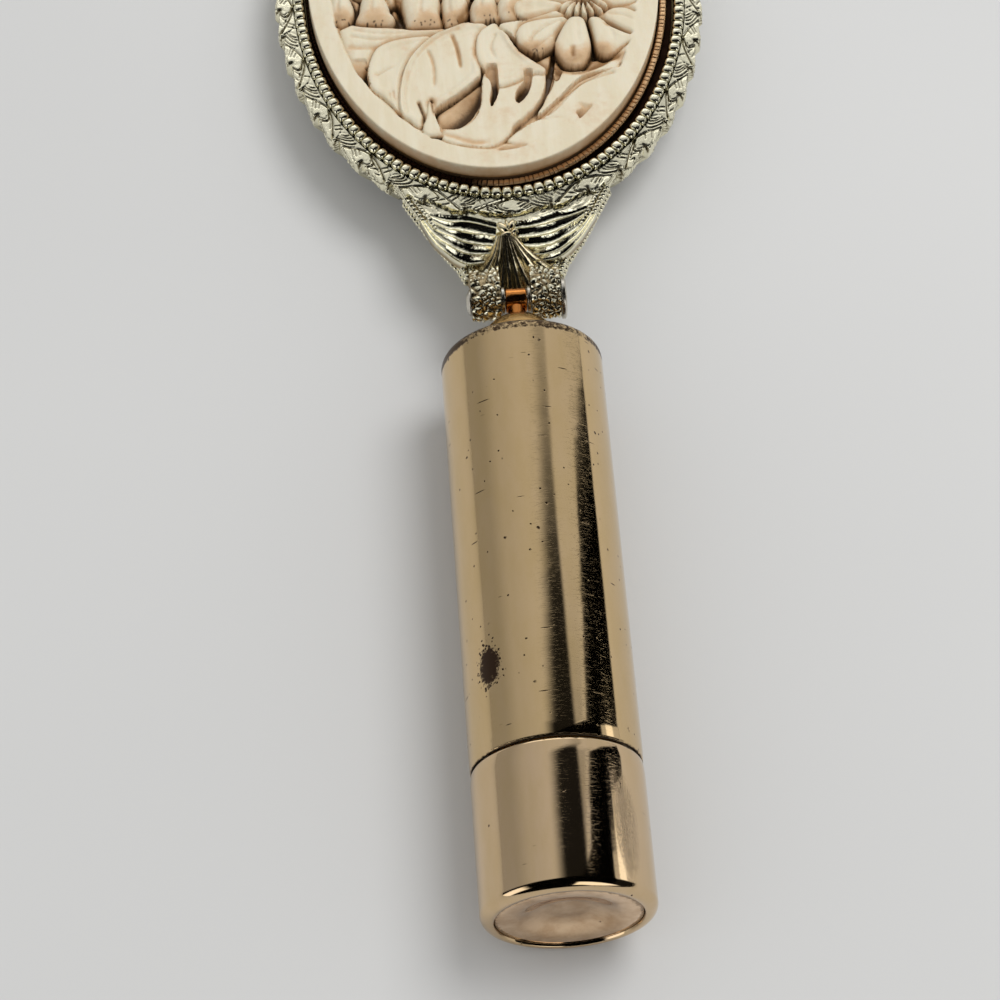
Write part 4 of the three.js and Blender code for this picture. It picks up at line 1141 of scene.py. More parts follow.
class MIRROR_OT_rim(bpy.types.Operator):
    """Cast frame: the leafy rim and the plate between its two recesses"""

    bl_idname = "mirror.rim"
    bl_label = "Leafy rim"

    def execute(self, context):
        chance = np.random.default_rng(41)
        stations = 2016
        places, normals, around = even_oval(*BEAD_HALF, stations)
        leaves = sizes().leaves
        relief = rim_relief(around, leaves // 2, chance)
        way = (np.arange(stations) / stations) * around
        way = np.where(way > around / 2, way - around, way)
        pitch = around / leaves
        t_way = np.abs(way) / pitch % 1.0
        swell = np.interp(t_way, [0, 0.3, 0.62, 0.97, 1], [1, 0.86, 0.25, 0.0, 1])
        outside = RIM_START + RIM_WIDTH + LEAF_STEP * swell
        outside += 0.05 * np.sin(way * 5.3) * np.sin(way * 3.1 + 1.0)
        outside = np.minimum(outside, RIM_START + RIM_WIDTH + LEAF_STEP)
        # each row: outward, height, share of the relief in height and outward, painted shade (on the back, and
        # down into the recess), where the relief is read
        crest, foot, recess = 1.68, 0.1, -0.2
        wall_rows, face_rows = 9, 22
        rows = [(-0.2, BACK, 0, 0, 0.4, 0), (1.1, BACK, 0, 0, 0.2, 0)]
        for t in (0.0, 0.03, 0.35, 0.7):
            rows.append((outside - 1.7 * (1 - t), BACK + (foot - BACK) * t, 0, 0, 0.2, 0))
        for t in np.linspace(0, 1, wall_rows):
            read_at = outside - 0.15 - 1.35 * (1 - t)
            rows.append((outside - 0.12 * t**6, foot + (crest - foot) * t, t**4, 1.1, 0.0, read_at))
        for share in np.linspace(0, 1, face_rows + 1)[1:]:
            offset = (outside - 0.18) * (1 - share) + (RIM_START + 0.03) * share
            rows.append((offset, crest + 0.16 * share, 1.0 - soft_step(0.95, 1.0, share), 0, 0.0, offset))
        # the rows down into the recess darken step by step: painted shade
        rows += [(RIM_START, level, 0, 0, stain, 0)
                 for level, stain in ((1.7, 0.3), (0.25, 0.8), (recess, 1.0))]
        rows.append((-0.2, recess, 0, 0, 1.0, 0))
        offsets, heights, lift, push, rim_painted_shade, reading = (row_values(rows, k, stations) for k in range(6))
        ways = np.broadcast_to(way[:, None], offsets.shape)
        carved = relief.sample(relief.height, ways, reading)
        notch = (bell(t_way - 0.03, 0.045) * (np.abs(way) > 4))[:, None] * soft_step(1.9, 2.4, reading)
        heights = heights + (carved - 0.22 * notch) * lift
        offsets = offsets + np.minimum(carved - 0.25 * notch, 0) * push
        # dark engraved lines and notches (dirt and shade), with the painted shade of the back and the recess
        dirt = np.maximum(relief.sample(relief.dirt_and_shade, ways, reading), 0.95 * notch) * np.maximum(lift, push > 0)
        dirt = np.maximum(dirt, rim_painted_shade)
        shape = Shape()
        swept_oval(shape, places, normals, offsets, heights, hollow=dirt)
        for side in (-1, 1):
            for number in range(leaves // 2):
                at = number * pitch + 0.42 + 0.1 * chance.random()
                station = int(round(side * at / around * stations)) % stations
                place = places[station] + normals[station] * (outside[station] - 0.42)
                turn = math.atan2(normals[station][1], normals[station][0])
                size = 0.9 + 0.35 * chance.random()
                lump(shape, (*place, 1.3), (0.27 * size, 0.22 * size, 0.4), turn, rows=7, columns=10,
                     square=0.7, hollow=0.0)
        # the plate between the recesses is painted dark all over: painted shade in the gaps round the beads and
        # the medallion
        plate = oval_plate(BEAD_HALF + 1.4, -0.3, 0.3)
        shape.add(np.concatenate(plate.points), plate.faces, hollow=1.0)
        shape.piece("frame_rim_cast", OVAL, "head", "pale_gold_cast", "pale_gold_cast", ["head_frame"],
                    sharp=50)
        return {"FINISHED"}


NECK_END = 17.5  # from the pin to where the neck has run into the rim
# [way from the pin, half width of the neck there]
NECK_WIDTHS = [(1.6, 4.9), (4.9, 6.2), (8.25, 8.4), (11.6, 10.1), (14.9, 11.8), (18.5, 13.4)]
# the bow's ridges, each from the knot outwards
LEFT_RIDGES = [
    [(-1.5, 10.0), (-4.5, 11.0), (-6.8, 11.6), (-9.0, 12.4)],
    [(-1.6, 9.1), (-4.6, 10.0), (-6.8, 10.4), (-9.2, 12.0)],
    [(-1.8, 8.0), (-4.7, 8.2), (-6.9, 9.1), (-8.3, 10.5), (-9.4, 11.7)],
    [(-2.3, 6.5), (-4.8, 6.7), (-6.8, 7.8), (-8.6, 9.6), (-9.7, 11.5)],
    [(-2.6, 5.4), (-4.9, 5.2), (-6.9, 6.3), (-8.6, 8.4), (-10.0, 11.4)],
    [(-2.9, 4.2), (-5.4, 4.0), (-7.4, 5.6), (-9.0, 8.0), (-10.3, 11.5)],
]
RIGHT_RIDGES = [
    [(0.6, 10.1), (2.6, 10.2), (4.8, 10.9), (7.6, 11.6), (9.5, 12.4)],
    [(0.7, 8.9), (2.9, 8.9), (5.2, 9.4), (7.6, 10.7), (9.5, 11.9)],
    [(0.8, 7.5), (3.3, 7.3), (5.6, 7.9), (7.6, 9.7), (9.5, 11.6)],
    [(0.9, 6.4), (3.2, 5.6), (5.5, 6.3), (7.8, 8.4), (9.6, 11.3)],
    [(1.6, 5.2), (3.6, 4.7), (5.8, 5.4), (8.0, 7.7), (9.9, 11.1)],
    [(2.2, 4.2), (4.2, 4.0), (6.1, 4.8), (8.1, 7.2), (10.2, 11.0)],
]
FAN_APEX = (-0.6, 7.7)
# where the fan's ridges end, with their heights
FAN_FOOT = [
    (-4.6, 2.3, 1.75), (-3.5, 2.05, 1.2), (-2.3, 1.9, 0.3), (-1.1, 1.86, -0.45), (0.1, 1.86, -0.55),
    (1.3, 1.86, -0.2), (2.5, 2.0, 0.7), (3.6, 2.4, 1.35), (4.5, 3.0, 1.75)
]


def neck_width(y):
    return np.interp(y, [place for place, _ in NECK_WIDTHS], [width for _, width in NECK_WIDTHS])


def fluted(shape, ridges, ridge_heights, depth, steps=36, flute_shade=0.3):
    """A pleated patch: sharp ridges with hollow flutes between them, closed down to below the slab."""
    between = 8  # rows from one ridge to the next
    curves = []
    share = np.linspace(0, 1, steps + 1)
    for ridge, heights in zip(ridges, ridge_heights):
        curve = bent(ridge, 12)
        run = run_along(curve)
        x, y, *own = place_on(curve, run, share * run[-1])
        n = np.interp(share, np.linspace(0, 1, len(heights)), heights)
        if own:
            n = n + own[0]
        curves.append(np.stack([x, y, n], -1))
    curves = np.stack(curves)
    rows, hollows = [], []
    for k in range(len(curves) - 1):
        gap = np.linalg.norm(curves[k + 1] - curves[k], axis=1)
        for j in range(between):
            f = j / between
            row = curves[k] * (1 - f) + curves[k + 1] * f
            row[:, 2] -= np.minimum(depth, gap * 0.42) * math.sin(math.pi * f) ** 0.75
            rows.append(row)
            # painted shade and dark reflection in the flutes: darkest at the bottom of each flute
            hollows.append(math.sin(math.pi * f) * np.ones(steps + 1))
    rows.append(curves[-1])
    hollows.append(np.zeros(steps + 1))
    top = np.stack(rows)
    hollow = np.stack(hollows)
    count = len(rows)
    skirt_down = 1.2
    ring_index = (
        [(0, j) for j in range(steps + 1)]
        + [(i, steps) for i in range(1, count)]
        + [(count - 1, j) for j in range(steps - 1, -1, -1)]
        + [(i, 0) for i in range(count - 2, 0, -1)]
    )
    rim = np.array([top[i, j] for i, j in ring_index])
    middle = top.reshape(-1, 3).mean(0)
    low = rim.copy()
    low[:, 2] -= skirt_down
    start, size = count * (steps + 1), len(ring_index)
    upper_ring = [i * (steps + 1) + j for i, j in ring_index]
    lower_ring = range(start, start + size)
    faces = grid(count, steps + 1) + between_rings(upper_ring, lower_ring) + fan_of(lower_ring, start + size)
    points = np.concatenate([top.reshape(-1, 3), low, [middle - np.array([0, 0, skirt_down + 0.6])]])
    values = np.concatenate([hollow.ravel() ** 4 * flute_shade, np.ones(size + 1)])
    shape.add(points, faces, hollow=values)


def add_slab(shape):
    """The neck's slab, from the slot between the ears up to the rim."""
    back, side, front = -1.6, -0.2, 1.15
    top_edge = neck_width(NECK_END)
    columns, rows = 70, 60
    u = np.linspace(-1, 1, columns)
    v = np.linspace(0, 1, rows)
    half_x, half_y = BEAD_HALF + 1.3
    top_y = OVAL_Y - half_y * np.sqrt(1 - (u * top_edge / half_x) ** 2)
    y = SLOT_END + np.outer(v, top_y - SLOT_END)
    edge_y = SLOT_END + v * (NECK_END - SLOT_END)
    x = np.outer(neck_width(edge_y), u)
    round_off = np.sqrt(np.clip(1 - np.clip((np.abs(u) - 0.96) / 0.04, 0, 1) ** 2, 0, 1))
    slope = 1 - np.clip((np.abs(u) - 0.8) / 0.2, 0, 1)
    dip = soft_step(5.5, 1.8, y) * soft_step(3.4, 1.0, np.abs(x)) * 2.0
    wavy = 0.08 * np.sin(x * 5.1 + 2 * np.sin(y * 2.3)) * np.sin(y * 4.7 + np.sin(x * 3.1))
    n_front = (front + wavy - dip) * round_off + side * (1 - round_off)
    n_back = back * slope + side * (1 - slope)
    upper = np.stack([x, y, n_front], -1)
    lower = np.stack([x, y, np.broadcast_to(n_back, x.shape)], -1)
    loop = np.concatenate([upper, lower[:, ::-1]], axis=1)
    edging = np.broadcast_to(0.35 + 0.6 * (np.abs(u) > 0.92), upper.shape[:2])
    hollow = np.concatenate([edging, np.full(upper.shape[:2], 0.1)], axis=1)
    shape.add(loop, capped(rows, loop.shape[1]), hollow=hollow)


def fan_and_knot():
    """The bow's pleated fan and the folds of its knot."""
    apex_x, apex_y = FAN_APEX
    fan = []
    for i, (x, y, n) in enumerate(FAN_FOOT):
        from_middle = i - len(FAN_FOOT) // 2
        start = (apex_x + from_middle * 0.22, apex_y - 0.15 * abs(from_middle) * 0.3, 2.55)
        fan.append([start, ((apex_x + x) / 2, (apex_y + y) / 2, (2.7 + n) / 2), (x, y, n)])
    bow = Shape()
    swells = [[0, 0.25 if i % 2 == 0 else 0.05, 0] for i in range(len(fan))]
    fluted(bow, fan, swells, 0.42, steps=26, flute_shade=0.5)
    knot_folds = [
        ((-0.8, 8.9), (0.5, 1.1, 0.6), 0.6), ((0.15, 9.3), (0.45, 0.9, 0.55), -0.4),
        ((-0.35, 9.1), (0.3, 1.0, 0.75), 0.1), ((-0.5, 7.9), (0.75, 0.45, 0.55), 0.25),
        ((0.4, 8.3), (0.35, 0.6, 0.5), -0.7)
    ]
    for (cx, cy), radii, turn in knot_folds:
        lump(bow, (cx, cy, 2.0), radii, turn, rows=12, columns=18, hollow=0.15)
    return bow


def add_milled_edge(shape, side, chance):
    """Rows of small beads down one side of the neck, and one row on its face."""
    path = bent([(side * (neck_width(py) - 0.12), py) for py in np.linspace(2.9, 15.6, 26)], 4)
    run = run_along(path)
    for place in np.arange(0.2, run[-1], 0.62):
        px, py = place_on(path, run, place)
        for row, (level, out) in enumerate(((0.95, -0.1), (0.35, 0.05), (-0.2, 0.1))):
            size = 0.3 + 0.05 * chance.random()
            centre = (px + side * out, py + 0.3 * (row % 2), level)
            lump(shape, centre, (size * 1.15, size, size * 1.1), 0.0, rows=7, columns=10, square=0.8,
                 hollow=0.0)
    inner_path = path - [side * 0.8, 0]
    for place in np.arange(0.4, run[-1], 0.5):
        px, py = place_on(inner_path, run, place)
        radii = (0.3, 0.33, 0.25 + 0.1 * chance.random())
        lump(shape, (px, py, 1.1), radii, chance.random(), rows=6, columns=8, square=0.7, hollow=0.3)


def add_ear(shape, side, chance):
    """One of the two ears that hold the pin, covered with nuggets."""
    stations = 46
    xs = side * np.linspace(EAR_START, EAR_END, stations)
    arc = np.linspace(-math.pi / 2, -3 * math.pi / 2, 70)
    outline = [(EAR_RADIUS * math.cos(a), EAR_RADIUS * math.sin(a)) for a in arc]
    outline += [(share * 4.6, EAR_RADIUS - 1.15 * share**1.6) for share in np.linspace(0.03, 1, 44)]
    outline += [(4.6, -1.2), (3.6, -1.5), (2.7, -EAR_RADIUS), (1.2, -EAR_RADIUS)]
    outline = np.array(outline)
    across, along = np.meshgrid(xs, np.arange(len(outline)), indexing="ij")
    points = np.stack([across, outline[along, 0], outline[along, 1]], -1)
    seeds = chance.random((430, 3)) * [EAR_END - EAR_START, 7.2, 2 * EAR_RADIUS]
    seeds = seeds * [side, 1, 1] + [side * EAR_START, -EAR_RADIUS, -EAR_RADIUS]
    distance = np.sqrt(((points[:, :, None, :] - seeds) ** 2).sum(-1))
    nearest = np.partition(distance, 1, axis=-1)
    nugget = np.clip((nearest[..., 1] - nearest[..., 0]) / 0.42, 0, 1)
    lift = 0.42 * (1 - nugget**0.6)
    from_end = np.minimum(np.arange(stations), np.arange(stations)[::-1])[:, None]
    ease = np.clip(from_end / 2.5, 0, 1)
    sink = lift * (0.35 + 0.65 * ease) + 0.14 * (1 - ease)
    away = np.hypot(points[..., 1], points[..., 2])
    points[..., 1:] *= ((away - sink) / away)[..., None]
    shape.add(points, capped(stations, len(outline)), hollow=(1 - nugget) ** 2)


class MIRROR_OT_neck(bpy.types.Operator):
    """Cast frame: the neck with its ribbon bow, fan, milled edges and ears"""

    bl_idname = "mirror.neck"
    bl_label = "Neck and ears"

    def execute(self, context):
        chance = np.random.default_rng(7)
        shape = Shape()
        add_slab(shape)
        depth = sizes().flute_depth / MM
        tops = [2.0, 2.15, 2.3, 2.35, 2.25, 2.0]
        for ridges in (LEFT_RIDGES, RIGHT_RIDGES):
            fluted(shape, ridges, [[1.9, top, top + 0.1, 1.75, 1.35] for top in tops], depth)
        bow = fan_and_knot()
        for side in (1, -1):
            add_milled_edge(shape, side, chance)
            add_ear(shape, side, chance)
        shape.piece("neck_cast", HEAD, "head", "pale_gold_cast", "pale_gold_neck", ["head_frame"], sharp=38)
        bow.piece("fan_cast", HEAD, "head", "pale_gold_cast", "fan_gold_painted_reflection", ["head_frame"], sharp=38)
        return {"FINISHED"}


class MIRROR_OT_beads(bpy.types.Operator):
    """Ring of beads and the ticked copper collar inside it"""

    bl_idname = "mirror.beads"
    bl_label = "Beads and collar"

    def execute(self, context):
        chance = np.random.default_rng(19)
        count = sizes().beads
        places, normals, around = even_oval(*BEAD_HALF, count)
        floor, crest = BEADS_LOW[2], BEADS_HIGH[2]
        bead_height = 0.95
        shape = Shape()
        for (x, y), (nx, ny) in zip(places, normals):
            size = 1 + 0.05 * (chance.random() - 0.5)
            turn = math.atan2(ny, nx) + 0.1 * (chance.random() - 0.5)
            at = (x + nx * 0.08, y + ny * 0.08, crest - bead_height)
            radii = (BEAD_WIDTH * 1.06 * size, around / count * 0.5 * size, bead_height)
            lump(shape, at, radii, turn, rows=12, columns=20, square=0.56, hollow=0.0)
        fine = 480
        rail_places, rail_normals, _ = even_oval(*BEAD_HALF, fine)
        half, shoulder, rail_top = 0.5, crest - 0.75, crest - 0.6
        section = [(-half, floor), (half, floor), (half, shoulder), (0.3, rail_top), (-0.3, rail_top),
                   (-half, shoulder)]
        swept_oval(shape, rail_places, rail_normals, *everywhere(section, fine), hollow=0.55)
        shape.piece("beaded_bezel_ring", OVAL, "head", "pale_gold_cast", "pale_gold_beads", ["beaded_bezel"],
                    sharp=50)
        ticks = sizes().ticks
        each = 10
        fine = ticks * each
        places, normals, _ = even_oval(*BEAD_HALF, fine)
        outer = -(BEAD_WIDTH + 0.1)
        inner = CARVED_HALF[0] - BEAD_HALF[0] + normals @ CARVED_AT + 0.12
        low, high = COLLAR_LOW[2], COLLAR_HIGH[2]
        share = (np.arange(fine) % each) / each
        shift = np.repeat(0.3 + 0.4 * chance.random(ticks), each)
        tick = bell(share - shift, 0.08)
        depth = sizes().tick_depth / MM * (0.7 + 0.6 * np.repeat(chance.random(ticks), each))
        strip = np.minimum(inner + 0.95, outer - 0.02)
        wide = strip - inner
        narrow_gap_shade = 1 - soft_step(0.3, 0.9, wide)
        ledge = high - 0.9
        # each row: outward, height, share of the ticks, dirt and painted shade (the hidden walls and ledge are
        # painted dark)
        section = [(inner, low, 0, 1.0), (outer, low, 0, 1.0), (outer, ledge, 0, 1.0), (strip, ledge, 0, 1.0)]
        # painted shade: darker where the gap to the medallion is narrow and at the crown's two edges
        for t in np.linspace(0, 1, 11):
            side = abs(2 * t - 1)
            edge_painted_shade = np.maximum(narrow_gap_shade, side**8)
            section.append((inner + wide * (1 - t), high - 0.02 - 0.3 * side**6, 1.0, edge_painted_shade))
        cut = np.outer(depth * tick, [row[2] for row in section])
        heights = np.array([row[1] for row in section])[None, :] - cut
        left_painted_shadow = soft_step(0.1, -0.4, normals[:, 0])  # the left side, in the medallion's shadow, is painted dark and shows no ticks
        # dark cut ticks, and painted shadow all over the left side
        ticked = tick * (0.5 + 0.5 * np.repeat(chance.random(ticks), each)) * (1 - left_painted_shadow) + 0.9 * left_painted_shadow
        dirt = np.maximum(ticked[:, None], row_values(section, 3, fine))
        shape = Shape()
        swept_oval(shape, places, normals, row_values(section, 0, fine), heights, hollow=dirt)
        shape.piece("serrated_collar_ring", OVAL, "head", "copper_plate", "copper_collar",
                    ["serrated_collar"], sharp=40)
        return {"FINISHED"}


# ---------------------------------------------------------------- carved medallion
MEDALLION_RIM = 2.5  # width of the plain rim round the carving
FIELD_HALF = CARVED_HALF - MEDALLION_RIM
CELL = 0.09  # spacing of the carving's height grid


def petal(x, y, angle, reach, width, root=0.18):
    """Outline of a round-ended petal that grows from a centre."""
    shape = [(root, 0.0), (0.45, 0.34), (0.75, 0.5), (0.94, 0.36), (1.0, 0.0), (0.94, -0.36), (0.75, -0.5),
             (0.45, -0.34)]
    cos, sin = math.cos(angle), math.sin(angle)
    return [(x + a * reach * cos - b * width * sin, y + a * reach * sin + b * width * cos) for a, b in shape]


# outlines from the middle of the bead ring, x to the right and y away from the handle
LEFT_LEAF = [(-11.2, -10.1), (-13.7, -11.1), (-14.7, -12.6), (-15.3, -14.9), (-15.2, -16.8), (-14.8, -18),
             (-13.6, -19.3), (-12.6, -20.6), (-11.6, -21.9), (-11.5, -19.7), (-11.1, -16.8), (-10.4, -14.2),
             (-8.9, -11.8), (-6.9, -10)]
MAIN_LEAF = [(-2.6, -8.1), (-1.1, -8.4), (0.1, -9.1), (0.7, -10.6), (0.5, -12.4), (-1.5, -14), (-1.8, -15.8),
             (-2.1, -16.9), (-3.5, -18.3), (-5.3, -19.9), (-7.5, -21.5), (-8.4, -22.8), (-9.6, -24.2),
             (-10.6, -23.2), (-11.6, -22), (-11.7, -19.7), (-11.3, -16.8), (-10.5, -14.1), (-8.9, -11.8),
             (-6.7, -9.8)]
ARC = [(-2.2, -7.5), (-4.7, -9.2), (-6.7, -10), (-8.7, -11.7), (-10.2, -13.9), (-11.2, -16.8), (-11.6, -19.7),
       (-11.5, -21.9)]
VEINS = [[(-4.9, -10.2), (-4.5, -12), (-4.3, -13.8), (-4.2, -15.9)],
         [(-7.9, -12.5), (-7.5, -14.2), (-7.4, -16.2), (-7.6, -18.6)],
         [(-14.2, -15.7), (-13, -14.9), (-11.8, -14.4)]]
BOUGH = [(0.6, -26.7), (4.9, -23.9), (7.4, -21.2), (9.9, -18.9), (12.4, -17.4), (15, -16.6), (15.8, -18.5),
         (14.9, -21.8), (11.8, -25.4), (8, -28.1), (4.2, -29.2), (1.7, -28)]
BIG_POCKET = [(-7.5, -21.1), (-5.3, -19.7), (-3.3, -18.2), (-2.1, -16.6), (-2, -18.6), (-2.2, -20.3),
              (-2.8, -21.7), (-3.6, -23), (-5.1, -24.1), (-6.8, -24.2), (-7.1, -23.7), (-7.6, -22.2)]
LEFT_POCKET = [(-17.4, -13), (-16.4, -12.9), (-15.3, -13), (-15.3, -14.5), (-14.9, -17), (-15.3, -17.2),
               (-16.1, -16.2), (-16.8, -14.9)]
SLOTS = [[(-1.1, -15.2), (0, -15.1), (0.1, -16.9), (0, -19.5), (-0.6, -21.2), (-1, -21.8), (-1.1, -20.6),
          (-0.8, -18.9), (-0.9, -17.7), (-1.4, -16.8)],
         [(3.2, -16.3), (4.2, -16.3), (4.1, -17.8), (3.7, -19.5), (3, -20.8), (2.2, -21.5), (1.9, -20.7),
          (2.2, -19.4), (3.1, -18)]]
RIGHT_HOLE = [(14.7, -15.5), (15.3, -16.4), (15.1, -17.5), (14.5, -18.4), (14, -18.9), (14.4, -17.4)]
BENT_POCKET = [(9.3, -21.9), (10.5, -22.3), (11.4, -22.2), (11.2, -23.5), (10.2, -24.6), (9.5, -25.6),
               (8.7, -25.7), (9.1, -24.2), (8.8, -23.3), (9.6, -22.8)]


def carve_lower(relief):
    """Leaves, stems and pockets of the lower half."""
    relief.leaf(BOUGH, -0.06, 0.2, 0.5, under=0.2)
    relief.leaf([(6.9, -15.9), (9, -16.4), (12, -16), (15.4, -14.3), (15.6, -15.9), (14.1, -16.4),
                 (11.9, -16.8), (10.2, -17.4),
                 (8.8, -18.6), (7.2, -20.5), (4.5, -23.2), (4.8, -21.6), (6.2, -19.3), (6.8, -17.5)], -0.35,
                 0.2, 0.4, under=0.2)
    relief.leaf([(-7.1, -25.1), (-5.2, -25), (-3.5, -23.9), (-2.6, -22.5), (-2.1, -20.5), (-1.9, -18.2),
                 (-1.5, -15.9), (0, -15.2), (4.2, -16.2), (5.7, -16.6), (5.6, -18.7), (5, -20.7), (4, -22.3),
                 (2.6, -23.8), (1.4, -25), (0.9, -26.2),
                 (-1.2, -27.9), (-4.2, -27.6), (-6.8, -26.6)], -0.02, 0.2, 0.4, under=0.3)
    relief.leaf([(-18.2, -8), (-16.1, -7.3), (-10.9, -8.2), (-4.7, -8.7), (-5.6, -10.1), (-9.6, -12.2),
                 (-13.8, -13.4), (-15.3, -13.7), (-16.8, -13.6), (-17.6, -11.9), (-18.3, -9)], -0.05, 0.4,
                 0.9, (0.0, 0.04), 0.5)
    relief.groove([(-16.9, -9.3), (-14.5, -9.9), (-12.1, -9.9)], 0.22, 0.25, 0.3)
    relief.groove([(-16.6, -8.4), (-13.6, -9.1), (-9.5, -9.2)], 0.14, 0.22, 0.2)
    relief.groove([(-17.2, -11), (-14.9, -11.2), (-12.6, -11.2)], 0.25, 0.4, 0.4)
    relief.hole(LEFT_POCKET, 2.4)
    relief.leaf(LEFT_LEAF, 0.05, 0.3, 0.6, (0.0, 0.0), 0.5, 0.15)
    relief.hole(BIG_POCKET, 2.3, 0.9, (0.8, -0.7), 0.15)
    relief.leaf(MAIN_LEAF, 0.12, 0.35, 0.6, (0.0, 0.012), 0.55, 0.2)
    relief.groove(ARC, -0.34, 0.27, 0.0, False)
    relief.groove([(x + 0.55, y - 0.1) for x, y in ARC[1:]], 0.14, 0.2, 0.35, False)
    for line, depth, warm in zip(VEINS, (0.42, 0.28, 0.22), (0.9, 0.5, 0.3)):
        relief.groove(line, depth, 0.22, warm)
    relief.groove([(-2, -17.2), (-3.5, -18.7), (-5.3, -20.3), (-7.3, -21.6)], -0.15, 0.3, 0.0)
    relief.leaf([(0.7, -8.5), (1.5, -9.8), (2.6, -12.6), (4.4, -14.8), (5.8, -16.2), (5.5, -16.9),
                 (4.2, -16.9), (1.8, -18.2), (0, -18.5), (-0.3, -16.5), (-1.5, -15.8), (-2.2, -13.4),
                 (-1.9, -10.4), (-0.6, -8.9)], 0.14, 0.25, 0.5, (0, 0.01), 0.45, 0.12)
    relief.groove([(0.2, -10.4), (-0.4, -12.3), (0.1, -14.7)], 0.2, 0.2, 0.3)
    relief.groove([(1.0, -9.6), (2.0, -12.6), (3.8, -15.2)], -0.12, 0.2, 0.0)
    for slot, lean in zip(SLOTS, ((0.1, -1.0), (-0.5, -1.0))):
        relief.hole(slot, 2.4, 1.0, lean, 0.35)
    relief.hole([(6.8, -12.6), (7.2, -13.5), (7, -15), (6.7, -16.7), (6.3, -18.2), (5.7, -20.2), (4.9, -22.1),
                 (3.6, -23.7), (2, -25.5), (1, -26), (1.4, -25), (2.6, -23.8), (4, -22.3), (5, -20.7),
                 (5.6, -18.7), (5.8, -16.7), (6.3, -14.9)],
                2.2, 1.0, (0.3, 1.0), 0.3, 0.12)
    relief.hole([(6.9, -16.2), (7.8, -16.3), (7.6, -17.2), (7.2, -18), (6.8, -17.9)], 1.8, 0.9, start=0.5)
    relief.hole(RIGHT_HOLE, 2.0, 1.0, (-0.3, -1.0), 0.4)
    relief.hole(BENT_POCKET, 1.7, 0.8, (-0.2, -1.0), 0.05)
    relief.groove([(14.1, -16.7), (12, -17.1), (10.4, -17.7), (9, -18.9), (7.4, -20.8), (5.7, -22.5),
                   (4.1, -24.2), (2.1, -25.8)],
                  -0.32, 0.3, 0.0)
    relief.groove([(13.7, -17.4), (11.7, -18), (9.9, -18.7), (8.3, -20.3), (6.6, -22.5), (4.8, -24.1)], 0.26,
                  0.24, 0.55)
    for line in ([(4.5, -24.1), (6.5, -24), (7.7, -24.3)], [(5, -24), (6, -24.7)],
                 [(9, -16.9), (11.5, -16.3), (14, -15.3)]):
        relief.groove(line, 0.14, 0.16, 0.3)
    relief.groove([(-6.5, -25.8), (-3.4, -27.2), (-1.1, -27.2)], 0.16, 0.35, 0.7)
    relief.leaf([(-8.3, -20.5), (-7.8, -20.6), (-7.6, -22.9), (-7.2, -24.6), (-7.3, -25.8), (-8.9, -25.8),
                 (-9.2, -24.5),
                 (-8.7, -22.8)], 0.16, 0.3, 0.4, under=0.3)
    relief.groove([(-9.5, -20.4), (-9.2, -21.6), (-9, -22.8), (-9.4, -24.2)], 0.6, 0.22, 0.9, dirt_and_shade=0.55)
    relief.groove([(-8, -20), (-7.9, -21.7), (-7.7, -23.2)], 0.5, 0.18, 0.9, dirt_and_shade=0.6)
    for line in ([(-12.8, -18.7), (-12.8, -20.4)], [(-12.4, -18.5), (-12.2, -20.8)]):
        relief.groove(line, 0.2, 0.18, 0.5)
    relief.groove([(-9.1, -25.8), (-8.2, -26.1), (-7.2, -26)], 0.7, 0.2, 0.9, False, dirt_and_shade=0.95)
    relief.hole([(-1.9, -29.1), (-0.8, -28.5), (0.1, -27.9), (1, -27.7), (2.3, -27.7), (3.5, -28.4),
                 (2.8, -29.1), (1.8, -29.6), (0.4, -29.6), (-1, -29.3)], 1.5, 0.7, (0.0, -1.0), 0.05)
    relief.hole([(-19.4, -6), (-18.6, -6.4), (-18.6, -8), (-18.4, -8.8), (-19, -8.9), (-19.3, -7.5)], 2.0,
                1.0, start=0.6)


